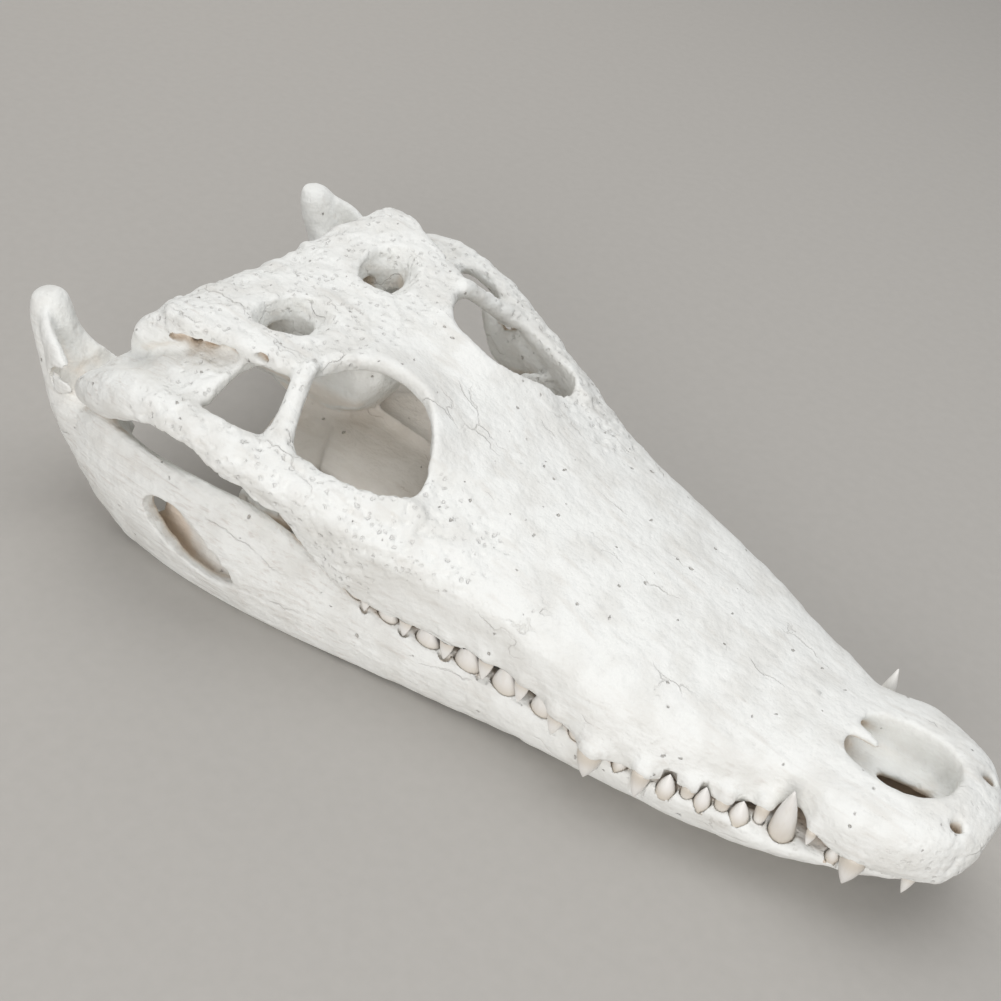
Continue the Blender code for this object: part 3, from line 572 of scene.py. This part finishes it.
cutters = [
    *both(shaft("orbit", ORBIT, 40, 90, 1.04)),
    *both(shaft("temporal", TEMPORAL, 20, 69)),
    *both(shaft("palate_window", PALATE_WINDOW, 10, 52)),
    *both(ball("orbit_hollow", (168, 24, 47), (26, 12, 9))),
    *both(ball("perforation", (8.2, 9.6, 33), (1.9, 1.9, 10))),
    shaft("naris", NARIS, 27.5, 45, 1.04),
    ball("nose_hollow", (43, 0, 31.5), (11, 8, 3)),
    bar("nose_slit", NOSE_SLIT),
]
cut_away(shield, fused_cutter(cutters))
pieces = [shield, braincase, neck_ball, palate, palate_crest, nose_spur]
for piece in (rear_wing, prong, palate_wing, wing_rim, strut, pillar, eye_bar, lamina, knuckle):
    pieces += both(piece)
skull = fuse("skull", pieces, smoothing=7)
windows = [
    *both(funnel("roof_window", ROOF_WINDOW, ROOF_RIM)),
    *both(ball("ear", (227, 43.5, 69.4), (15, 5, 2.4))),
    *both(ball("ear_rear", (231.8, 37.6, 69.4), (3.2, 4.5, 1.5))),
    *both(ball("ear_middle", (222.3, 37.2, 71.6), (3.2, 4.5, 1.3))),
    *both(ball("ear_front", (213.2, 36.8, 72.6), (2.6, 4.5, 1.3))),
    ball("nape_notch", (262, 0, 75), (16.5, 30, 8)),
]
cut_away(skull, fused_cutter(windows))
cranium_bone = fuse("cranium_bone", [skull], smoothing=4)

# The lower jaw: each half one long hollow beam, deepest at the rear, with a window in its side.
JAW_RIM = (
    (7, 10, 18), (14, 16, 18.2), (24, 22.5, 18), (34, 26, 17), (42, 29, 16.8), (50, 32, 18),
    (57, 34.4, 18.3), (64, 36.4, 18.2), (72, 38, 18), (80, 39, 17.4), (86, 38.6, 17),
    (92, 38, 16.8), (110, 39.4, 17.8), (128, 42, 18.8), (150, 45, 19.8), (165, 47.2, 21.6),
    (172, 48.3, 24.2), (178, 49.2, 27), (188, 51, 31), (198, 53.4, 34.4), (208, 55.8, 36.2),
    (220, 57.6, 36.6), (232, 59, 36.6), (244, 60, 38), (254, 60, 39.4), (262, 59, 36.5), (270, 58, 35),
)
JAW_OUTER = (
    (7, 9.5, 16), (14, 13, 12), (24, 17, 9.5), (34, 21.6, 8.5), (42, 26, 8.4), (64, 33, 8.2),
    (92, 38, 8.2), (110, 40.4, 8.6), (128, 43, 9), (150, 47.2, 9.6), (168, 50.8, 10.6), (188, 55.6, 14),
    (208, 60.6, 18), (228, 62.6, 20), (250, 62, 20), (262, 60.5, 22), (270, 58.5, 25),
)
JAW_KEEL = (
    (7, 3.5, 14.5), (14, 4.5, 8.5), (24, 6.5, 3.6), (34, 10.5, 1.2), (42, 14, 0.3), (52, 18, -0.4),
    (64, 22.2, -0.4), (92, 30.2, 0.6), (128, 39, 1), (150, 44.4, 0.6), (168, 48.4, 0.2),
    (188, 52.4, -0.3), (208, 55.4, -0.6), (232, 56.8, -0.6), (246, 56.4, 0.6), (256, 55.4, 3.6),
    (264, 54.5, 9), (270, 53.5, 14.5),
)
JAW_INNER = (
    (7, 0, 16), (42, 0, 10), (50, 3.5, 9.5), (56, 10.5, 9), (64, 19, 9), (92, 26.5, 9), (128, 32.4, 9),
    (168, 40, 12), (188, 42.5, 16), (208, 45, 20), (232, 46.5, 21), (256, 46, 22), (270, 46, 24),
)
JAW_WINDOW = (
    (232, 24.5), (229, 28.2), (222, 28.6), (214, 25.8), (206, 20.4), (200, 14.6), (202.4, 11.4),
    (211, 11), (221, 14), (228.5, 19),
)
SYMPHYSIS_GAP = 0.35
# How far the left hook stands forward, outward and down at height z: (z, x, y, z).
HOOK_LEAN = ((36, 0, 0, 0), (46, 3, 3, -0.6), (55, 2.2, 2.2, -1), (66, 0.6, 0.6, -1.2))
HOOK = (
    (258, 52.5, 24, 8.5, 12), (267, 51.8, 30, 8.8, 10.5), (274, 51.2, 38.5, 8.6, 7.5),
    (279, 51.2, 47.5, 7.4, 6.2), (281.6, 51.5, 56, 6.4, 5.8), (282.6, 51.6, 62, 5.4, 5.2),
    (283, 51.6, 65, 3.4, 3.6),
)
LIP = ((266, 38, 38, 3.2, 4.5), (267.5, 46, 37.5, 4, 5), (268, 54, 36.5, 3.5, 5))
FLANGE = (
    (280, 48, 54, 2.4, 3), (277, 46.4, 48, 3, 3.6), (273, 44.6, 45, 3, 3.6),
    (269, 42.6, 44, 2.6, 3.4), (267, 40.4, 41, 2.4, 3),
)
CREST = (
    (283, 55, 60, 1.6, 2.5), (279, 56, 58.5, 1.8, 3.5), (275, 58.2, 55.5, 2, 4.5),
    (270, 59.6, 50.5, 2.4, 6), (265, 60.2, 43, 3, 6),
)
SPIKE = ((269, 44, 40, 3, 3.4), (268, 42.2, 45, 2, 2.2), (267.4, 41, 49.4, 1.3, 1.3))
SOCKET = (
    (262.5, 61.5, 47, 8, 5), (263, 57, 47, 9, 6), (262.5, 49, 47, 8.6, 5.6),
    (262, 42, 47.2, 8.6, 5.8), (261.5, 36, 47.6, 7.4, 4.6),
)


def jaw_section(s):
    """Ring round the left half of the lower jaw at station s."""
    rim, outer, keel, inner = (along(line, s) for line in (JAW_RIM, JAW_OUTER, JAW_KEEL, JAW_INNER))
    slim = min(max((s - 174) / 12, 0), 1) * min(max((256 - s) / 8, 0), 1)
    thick = max(rim[0] - inner[0], 4) * 0.85 if s < 50 else 7.5 - 3 * slim
    rim_inner = (max(rim[0] - thick, inner[0]), rim[1] - 0.3)
    points = [rim, outer, keel, (keel + inner) / 2 - 1, inner, rim_inner]
    return [(s, y, z) for y, z in rounded(points, 8, closed=True)]


def trim(body):
    """Cuts the half jaw flat where it meets the floor and the other half."""
    bm = bmesh.new()
    bm.from_mesh(body.data)
    for point, normal in ((Vector((0, 0, 0)), Vector((0, 0, 1))),
                          (Vector((0, SYMPHYSIS_GAP / 2 * MM, 0)), Vector((0, 1, 0)))):
        cut = bmesh.ops.bisect_plane(bm, geom=bm.verts[:] + bm.edges[:] + bm.faces[:], dist=1e-7,
                                     plane_co=point, plane_no=normal, clear_inner=True)
        edges = [e for e in cut["geom_cut"] if isinstance(e, bmesh.types.BMEdge)]
        bmesh.ops.edgeloop_fill(bm, edges=edges)
    bmesh.ops.triangulate(bm, faces=bm.faces)
    bmesh.ops.recalc_face_normals(bm, faces=bm.faces)
    bm.to_mesh(body.data)
    bm.free()


def splay(body):
    """Leans the rear process of the left half forward and outward, as it stands in this skull."""
    co = np.zeros(len(body.data.vertices) * 3)
    body.data.vertices.foreach_get("co", co)
    co = co.reshape(-1, 3) / MM
    behind = np.clip((-co[:, 0] - 121) / 8, 0, 1)
    for i in np.flatnonzero(behind):
        co[i] += along(HOOK_LEAN, co[i, 2]) * behind[i]
    body.data.vertices.foreach_set("co", (co * MM).ravel())
    body.data.update()


ramus = loft("ramus", [jaw_section(s) for s in (*np.arange(7, 270, 1.6), 270)])
hook = bar("hook", HOOK, upright=(-1, 0, 0.6))
spike = bar("spike", SPIKE, upright=(1, 0, 0))
pieces = [ramus, hook, spike, bar("lip", LIP), bar("flange", FLANGE), bar("crest", CREST)]
left_jaw = fuse("left_jaw", pieces, smoothing=9)
window_outline = np.array(rounded(JAW_WINDOW, 8, closed=True))
cutters = [
    ball("fossa", (220, 55, 20), (23, 3, 13)),
    loft("window", [[(s, y, z) for s, z in window_outline] for y in (53, 60, 68)]),
    ball("inner_cut", (223, 45.5, 41), (23, 9.6, 12)),
    ball("inner_window", (240, 48, 17), (7, 8, 7)),
]
cut_away(left_jaw, fused_cutter(cutters))
cut_away(left_jaw, fused_cutter([bar("socket", SOCKET)]))
left_jaw = fuse("mandible_left_bone", [left_jaw], smoothing=4)

# The teeth: smooth cones that bite between each other, each in its own round socket in the edge
# of the jaw. The fourth of the lower jaw is the largest and stands in a notch of the snout.
# Their table holds (s, y, length, radius at the gum, lean outward).
LOWER_TEETH = (
    (9.4, 8.4, 14.2, 1.3, 1.1), (17.5, 16.5, 5, 1.6, 0.3), (28.8, 22.6, 3.4, 1.8, 0.3),
    (42, 24.8, 18, 3.4, 3.4), (52, 29.6, 5.6, 2.7, 0.3), (61, 32.8, 5.8, 2.3, 0.3),
    (70, 35.4, 5.4, 2.5, 0.3), (83, 36.4, 4, 2.2, 0.3), (96.6, 36.4, 5.4, 2.9, 0.5),
    (108.2, 37, 7.6, 3.5, 0.8), (119.8, 38.2, 9, 4, 0.8), (131.4, 39.4, 8.6, 4.2, 0.8),
    (144, 41, 7, 4, 0.8), (156.8, 42.6, 6, 3.6, 0.8), (168, 44.4, 4.8, 3, 0.6),
)
FLATNESS = 0.55             # width across over width along, of the rear teeth
ROOT = 1.5                  # millimetres of each tooth inside the gum
UPPER_LEAN = 0.7
# A shape is rings of (height, radius), both as shares of the tooth's own.
CROWN_SHAPE = (
    (-0.1, 0.95), (0, 1), (0.18, 0.97), (0.4, 0.84), (0.62, 0.62), (0.8, 0.38), (0.93, 0.17), (1, 0.06),
)
ROOM_SHAPE = ((-0.1, 1.0), (1, 0.6))    # of the space that a tooth of the other jaw bites into
MOAT_SHAPE = ((0, 1.0), (1, 0.9))       # of the socket, which shows as a ring round the neck
TOOTH_SIDES = 20


def tooth(name, base, length, radius, lean, shape):
    """A cone up from its (s, y, z) base, of (rise, size) rings; a negative length points it down."""
    s, y, gum = base
    angles = 2 * np.pi * np.arange(TOOTH_SIDES) / TOOTH_SIDES
    flatness = FLATNESS if s > 90 else 1
    rings = []
    for rise, size in shape:
        middle = y + lean * max(rise, 0)
        z = gum + rise * length
        long, across = radius * size * np.cos(angles), radius * size * flatness * np.sin(angles)
        rings.append([(s + a, middle + b, z) for a, b in zip(long, across)])
    return loft(name, rings)


def upper_teeth(extra=0.0, shape=CROWN_SHAPE):
    """The teeth of the left side, or cutters larger than them by the extra."""
    teeth = []
    for s, y, length, radius in UPPER_TEETH:
        base = (s, y, along(MARGIN, s)[1] + ROOT)
        teeth.append(tooth("upper", base, -(length + ROOT + extra), radius + extra, UPPER_LEAN, shape))
    return teeth


def lower_teeth(extra=0.0, shape=CROWN_SHAPE):
    teeth = []
    for s, y, length, radius, lean in LOWER_TEETH:
        base = (s, y, along(JAW_RIM, s)[1] - ROOT)
        teeth.append(tooth("lower", base, length + ROOT + extra, radius + extra, lean, shape))
    return teeth


cut_away(left_jaw, gather("room", upper_teeth(0.5, ROOM_SHAPE)))
cut_away(left_jaw, gather("moat", lower_teeth(0.45, MOAT_SHAPE)))
for left_cutters in (upper_teeth(0.3, MOAT_SHAPE), lower_teeth(0.5, ROOM_SHAPE)):
    cutters = [half for cutter in left_cutters for half in both(cutter)]
    cut_away(cranium_bone, gather("rooms", cutters))
trim(left_jaw)
right_jaw = mirror_copy(left_jaw)
right_jaw.name = "mandible_right_bone"
splay(left_jaw)
left_lower = gather("teeth_lower_left", lower_teeth())
right_lower = mirror_copy(left_lower)
right_lower.name = "teeth_lower_right"
upper = gather("teeth_upper", [half for one in upper_teeth() for half in both(one)])

# Tooth ivory: smooth and faintly glossy, pale at the tip, with fine stains that run up the crown,
# and darker towards the gum: partly the brownish neck, partly painted shade where it meets the socket.
BLOTCH_SIZE = 1.6           # millimetres
CROWN_HEX = "#F1EFEB"
CROWN_STAIN_HEX = "#E8E4DC"
NECK_AND_SHADE_HEX = "#D6CDBF"
ivory, tree, shader = new_material("tooth_ivory")
SMOOTH = {"interpolation_type": "SMOOTHSTEP"}
RGBA = {"data_type": "RGBA"}
BUMP_UNIT = 1.0 * MM        # what a height of one stands for
places = add_node(tree, "TexCoord")["Object"]
drawn_out = [k / (BLOTCH_SIZE * MM) for k in (1, 1, 0.35)]
places = add_node(tree, "Mapping", inputs={"Vector": places, "Scale": drawn_out})["Vector"]
blotches = add_node(tree, "TexNoise", inputs={"Vector": places, "Scale": 1.0, "Detail": 3.0})["Fac"]
stained = {"Value": blotches, "From Min": 0.5, "From Max": 0.75, "To Max": 0.5}
stained = add_node(tree, "MapRange", SMOOTH, stained)["Result"]
rise = add_node(tree, "Attribute", {"attribute_name": "rise"})["Fac"]
# Towards the gum the tooth darkens: partly its brownish neck, partly painted shade from the socket.
neck = {"Value": rise, "From Min": 0.6, "From Max": 0.0, "To Max": 0.85}
neck = add_node(tree, "MapRange", SMOOTH, neck)["Result"]
colour = {0: stained, 6: linear(CROWN_HEX), 7: linear(CROWN_STAIN_HEX)}
colour = add_node(tree, "Mix", RGBA, colour)[2]
colour = add_node(tree, "Mix", RGBA, {0: neck, 6: colour, 7: linear(NECK_AND_SHADE_HEX)})[2]
tree.links.new(colour, shader.inputs["Base Color"])
gloss = {"Value": blotches, "From Min": 0.3, "From Max": 0.7, "To Min": 0.3, "To Max": 0.45}
tree.links.new(add_node(tree, "MapRange", SMOOTH, gloss)["Result"], shader.inputs["Roughness"])
height = add_node(tree, "Math", {"operation": "MULTIPLY"}, {0: blotches, 1: 0.12})["Value"]
bump = add_node(tree, "Bump", inputs={"Height": height, "Strength": 0.8, "Distance": BUMP_UNIT})["Normal"]
tree.links.new(bump, shader.inputs["Normal"])


def add_attribute(mesh, name, values):
    mesh.attributes.new(name, "FLOAT", "POINT").data.foreach_set("value", np.clip(values, 0, 1))


def finish_piece(obj, material):
    obj.data.materials.clear()
    obj.data.materials.append(material)
    obj.data.shade_smooth()
    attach(obj, "root")


rises = np.repeat([ring[0] for ring in CROWN_SHAPE], TOOTH_SIDES)
for teeth, node in ((upper, "cranium"), (left_lower, "mandible_left"), (right_lower, "mandible_right")):
    add_attribute(teeth.data, "rise", np.tile(rises, len(teeth.data.vertices) // len(rises)))
    finish_piece(teeth, ivory)

# Dry bone is never smooth. It swells and dips, is pitted on the skull table and the cheeks and
# fibrous towards the rear, and beige painted shade lies in its hollows and inside the cranium, where
# nearby bone would shade it.
SWELL = (0.34, 9.0)         # height and width of each kind of relief, in millimetres
RIPPLE = (0.17, 3.6)
KNOB = (0.55, 4.4)
PIT = (0.6, 1.9)
FIBRE = (0.26, np.array((17.0, 2.4, 1.7)))
RIM_LUMP = (1.1, 5.2)       # on the rear edge of the skull table
HOLLOW_REACH = 22 * MM      # how far off a wall still shades a hollow
INSIDE_SHADE = 0.68         # painted shade on the floor and walls inside the cranium
MOST_TRIANGLES = 190_000    # of the cranium, which is the largest piece


def smooth_step(values, low, high):
    t = np.clip((values - low) / (high - low), 0, 1)
    return t * t * (3 - 2 * t)


def noise_at(places, size):
    """Smooth noise, about -1 to 1, with features of this size in millimetres."""
    return np.array([noise.noise(spot) for spot in (places / size).tolist()])


def vertex_array(mesh, normals=False):
    values = np.zeros(len(mesh.vertices) * 3)
    if normals:
        mesh.vertex_normals.foreach_get("vector", values)
    else:
        mesh.vertices.foreach_get("co", values)
    return values.reshape(-1, 3)


def move_points(mesh, places):
    """Puts the points at these places, held inside the CAD model's box."""
    mesh.vertices.foreach_set("co", np.clip(places, *cad_box).ravel())
    mesh.update()


def weather(body, is_jaw):
    """Moves the surface by parts of a millimetre, and marks where it is rough or fibrous."""
    mesh = body.data
    places = vertex_array(mesh) / MM
    normals = vertex_array(mesh, normals=True)
    s, side, z = MIDPOINT - places[:, 0], np.abs(places[:, 1]), places[:, 2]
    outward = np.maximum(normals[:, 2], np.sign(places[:, 1]) * normals[:, 1])
    if is_jaw:
        rough = 0.15 + 0.5 * smooth_step(s, 60, 20)
        fibre = smooth_step(s, 70, 190) * smooth_step(s, 276, 262)
    else:
        table = smooth_step(z, 67, 71) * smooth_step(s, 188, 200)
        cheek = smooth_step(side, 38, 45) * smooth_step(s, 150, 168) * smooth_step(s, 238, 226)
        brow = smooth_step(side, 20, 30) * smooth_step(s, 128, 140) * smooth_step(z, 36, 46)
        brow = brow * smooth_step(s, 196, 168)
        snout = 0.3 * smooth_step(z, 34, 24) + 0.35 * smooth_step(s, 32, 8)
        rough = np.clip(np.maximum.reduce([0.8 * table, cheek, brow, snout]), 0.12, 1)
        quadrate_grain = smooth_step(s, 226, 240) * smooth_step(side, 30, 40)
        fibre = np.maximum(quadrate_grain, 0.5 * smooth_step(z, 42, 30))
    rough = rough * smooth_step(outward, -0.1, 0.5)
    fibre = fibre * smooth_step(outward, -0.1, 0.5)
    swell, ripple, knob, thread, lump = (
        height * noise_at(places, width) for height, width in (SWELL, RIPPLE, KNOB, FIBRE, RIM_LUMP)
    )
    pits = PIT[0] * smooth_step(noise_at(places, PIT[1]), 0.12, 0.5)
    moved = swell + ripple + rough * (knob - pits) + fibre * thread
    if not is_jaw:
        moved = moved + lump * smooth_step(z, 63, 68) * smooth_step(s, 234, 243)
    moved = moved * smooth_step(z, 0.3, 2.2) * smooth_step(side, 0.3, 1.2 if is_jaw else 0.31)
    move_points(mesh, (places + normals * moved[:, None]) * MM)
    add_attribute(mesh, "rough", rough)
    add_attribute(mesh, "fibre", fibre)


def thin(body):
    """Merges points, the flattest places first, until few enough triangles are left."""
    body.data.calc_loop_triangles()
    share = MOST_TRIANGLES / len(body.data.loop_triangles)
    if share < 1:
        body.modifiers.new("Thin", "DECIMATE").ratio = share
        apply_modifiers(body)
        move_points(body.data, vertex_array(body.data))


def paint_hollow_shade(body, walls):
    """Paints shade on each point by how much of what it faces is nearby bone."""
    mesh = body.data
    places, normals = vertex_array(mesh), vertex_array(mesh, normals=True)
    hollow_shade = np.zeros(len(places))
    for i, (spot, ahead) in enumerate(zip(places, normals)):
        ahead = Vector(ahead)
        across = ahead.orthogonal().normalized()
        beside = ahead.cross(across)
        start = Vector(spot) + ahead * 0.25 * MM
        for tilt in (ahead * 0.1, across, -across, beside, -beside):
            if walls.ray_cast(start, (ahead + tilt * 1.1).normalized(), HOLLOW_REACH)[0] is not None:
                hollow_shade[i] += 0.2
    ends = np.zeros(len(mesh.edges) * 2, np.int32)
    mesh.edges.foreach_get("vertices", ends)
    ends = ends.reshape(-1, 2)
    for _ in range(2):
        total, count = hollow_shade.copy(), np.ones(len(hollow_shade))
        for near, far in ((0, 1), (1, 0)):
            np.add.at(total, ends[:, near], hollow_shade[ends[:, far]])
            np.add.at(count, ends[:, near], 1)
        hollow_shade = total / count
    s, side, z = MIDPOINT - places[:, 0] / MM, np.abs(places[:, 1]) / MM, places[:, 2] / MM
    # Painted shade inside the cranium: low down, within the side walls and behind the snout.
    inside = smooth_step(side, 43, 37) * smooth_step(z, 58, 48) * smooth_step(s, 150, 160)
    inside = inside * smooth_step(normals[:, 2], -0.7, -0.2)
    add_attribute(mesh, "hollow_shade", np.maximum(hollow_shade, INSIDE_SHADE * inside))


corners, faces = [], []
for body in (cranium_bone, left_jaw, right_jaw):
    weather(body, body is not cranium_bone)
    thin(body)
    body.data.calc_loop_triangles()
    triangles = np.zeros(len(body.data.loop_triangles) * 3, np.int32)
    body.data.loop_triangles.foreach_get("vertices", triangles)
    faces += (triangles.reshape(-1, 3) + len(corners)).tolist()
    corners += vertex_array(body.data).tolist()
walls = BVHTree.FromPolygons(corners, faces, all_triangles=True)
for body in (cranium_bone, left_jaw, right_jaw):
    paint_hollow_shade(body, walls)

# Dry bleached bone: matt and off-white, with beige painted shade in its hollows, scattered foramina
# painted as dark dots of shade, fine pits darkened with painted shade where it is rough and a grain that
# runs along the jaw.
BONE_HEX = "#F0F1EE"
BONE_DULL_HEX = "#E7E7E3"
# Beige painted shade, for hollows and the inside of the cranium.
PAINTED_SHADE_HEX = "#DCC3A6"
FORAMEN_SHADE_HEX = "#ADA599"
STREAK_HEX = "#D9D5CE"
THREAD_HEX = "#C9C0B8"
PIT_SHADE_HEX = "#C4BFB6"
SEAM_HEX = "#ABA498"
FORAMEN_RADIUS = 0.07       # of the cell that holds it
# Each pattern: kind of texture, size in millimetres, squeeze along the skull, and other inputs.
PATTERNS = {
    "grain": ("TexNoise", 0.9, 1, {"Detail": 3.0, "Roughness": 0.6}),
    "threads": ("TexNoise", 1.2, 0.06, {"Detail": 4.0, "Roughness": 0.6}),
    "dimples": ("TexNoise", 2.6, 1, {"Detail": 2.0}),
    "streaks": ("TexNoise", 3.2, 0.12, {"Detail": 2.0}),
    "crumbs": ("TexNoise", 1.3, 1, {"Detail": 3.0}),
    "bends": ("TexNoise", 7.0, 1, {"Detail": 3.0}),
    "clouds": ("TexNoise", 11.0, 1, {"Detail": 3.0}),
    "patches": ("TexNoise", 18.0, 1, {"Detail": 2.0}),
    "pit_cells": ("TexVoronoi", 1.9, 1, {"Randomness": 1.0}),
    "foramen_cells": ("TexVoronoi", 4.2, 1, {"Randomness": 1.0}),
    "seam_cells": ("TexVoronoi", 15.0, 0.2, {"Randomness": 1.0}),
}
# These wander, so that no edge is regular: by which pattern, and how far in millimetres.
BENT = {"pit_cells": ("crumbs", 2.0), "foramen_cells": ("crumbs", 2.0), "seam_cells": ("bends", 7.0)}
bone, tree, shader = new_material("bleached_bone")
places = add_node(tree, "TexCoord")["Object"]
pattern = {}
for name, (kind, size, squeeze, inputs) in PATTERNS.items():
    settings = {"feature": "DISTANCE_TO_EDGE"} if name == "seam_cells" else {}
    spots = places
    if name in BENT:
        waves, wander = BENT[name]
        bend = {0: pattern[waves]["Color"], 1: (wander * MM,) * 3, 2: places}
        spots = add_node(tree, "VectorMath", {"operation": "MULTIPLY_ADD"}, bend)["Vector"]
    scale = [k / (size * MM) for k in (squeeze, 1, 1)]
    spots = add_node(tree, "Mapping", inputs={"Vector": spots, "Scale": scale})["Vector"]
    pattern[name] = add_node(tree, kind, settings, {"Vector": spots, "Scale": 1.0, **inputs})
pit_open, foramen_open = (
    add_node(tree, "SeparateColor", inputs={"Color": pattern[name]["Color"]})["Red"]
    for name in ("pit_cells", "foramen_cells")
)
rough, fibre, hollow_shade = (
    add_node(tree, "Attribute", {"attribute_name": name})["Fac"] for name in ("rough", "fibre", "hollow_shade")
)

# Each mark: what it is read from, the range that it is drawn from, and the range that it gets.
mark = {"fibre": fibre}
for name, source, low, high, least, most in (
    ("dull", pattern["clouds"]["Fac"], 0.42, 0.66, 0, 1),
    ("streak", pattern["streaks"]["Fac"], 0.55, 0.75, 0, 0.35),
    ("thread", pattern["threads"]["Fac"], 0.52, 0.75, 0, 0.5),
    ("pit", pattern["pit_cells"]["Distance"], 0.46, 0.05, 0, 1),
    ("pit_open", pit_open, 0.3, 0.9, 0, 1),
    ("rough", rough, 0.1, 0.8, 0.15, 1),
    ("seam", pattern["seam_cells"]["Distance"], 0.016, 0, 0, 1),
    ("seam_shown", pattern["patches"]["Fac"], 0.52, 0.66, 0, 1),
    # Painted shade: beige where nearby bone would shade the surface.
    ("painted_shade", hollow_shade, 0.4, 1, 0, 0.65),
    ("foramen_size", foramen_open, 0.45, 1, 0, 2 * FORAMEN_RADIUS),
):
    ends = {"Value": source, "From Min": low, "From Max": high, "To Min": least, "To Max": most}
    mark[name] = add_node(tree, "MapRange", SMOOTH, ends)["Result"]
# The foramina: dots of painted shade, each dented a little, standing for the dark inside of small holes.
within = {0: mark["foramen_size"], 1: pattern["foramen_cells"]["Distance"]}
within = add_node(tree, "Math", {"operation": "SUBTRACT"}, within)["Value"]
within = {"Value": within, "From Min": -0.02, "From Max": 0.08}
mark["foramen"] = add_node(tree, "MapRange", SMOOTH, within)["Result"]
mark["thread_height"] = pattern["threads"]["Fac"]
for name, factor in (
    ("pit", "pit_open"), ("pit", "rough"), ("seam", "seam_shown"), ("thread", "fibre"),
    ("thread_height", "fibre"),
):
    both_marks = {0: mark[name], 1: mark[factor]}
    mark[name] = add_node(tree, "Math", {"operation": "MULTIPLY"}, both_marks)["Value"]

# Pits get painted shade, a light grey laid in each dent.
colour = linear(BONE_HEX)
for name, strength, tint in (
    ("dull", 1, BONE_DULL_HEX), ("streak", 1, STREAK_HEX), ("thread", 1, THREAD_HEX),
    ("pit", 0.16, PIT_SHADE_HEX), ("seam", 0.2, SEAM_HEX), ("painted_shade", 1, PAINTED_SHADE_HEX),
    ("foramen", 0.55, FORAMEN_SHADE_HEX),
):
    shown = add_node(tree, "Math", {"operation": "MULTIPLY"}, {0: mark[name], 1: strength})["Value"]
    colour = add_node(tree, "Mix", RGBA, {0: shown, 6: colour, 7: linear(tint)})[2]
tree.links.new(colour, shader.inputs["Base Color"])
shader.inputs["Roughness"].default_value = 0.62
height = 0.0
for source, rise in (
    (pattern["grain"]["Fac"], 0.08), (pattern["dimples"]["Fac"], 0.55), (mark["thread_height"], 0.4),
    (pattern["streaks"]["Fac"], 0.3), (mark["pit"], -0.4), (mark["foramen"], -0.6), (mark["seam"], -0.22),
):
    height = {0: source, 1: rise, 2: height}
    height = add_node(tree, "Math", {"operation": "MULTIPLY_ADD"}, height)["Value"]
bump = add_node(tree, "Bump", inputs={"Height": height, "Strength": 1.0, "Distance": BUMP_UNIT})["Normal"]
tree.links.new(bump, shader.inputs["Normal"])

for body, node in (
    (cranium_bone, "cranium"), (left_jaw, "mandible_left"), (right_jaw, "mandible_right"),
):
    finish_piece(body, bone)
    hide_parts(node)
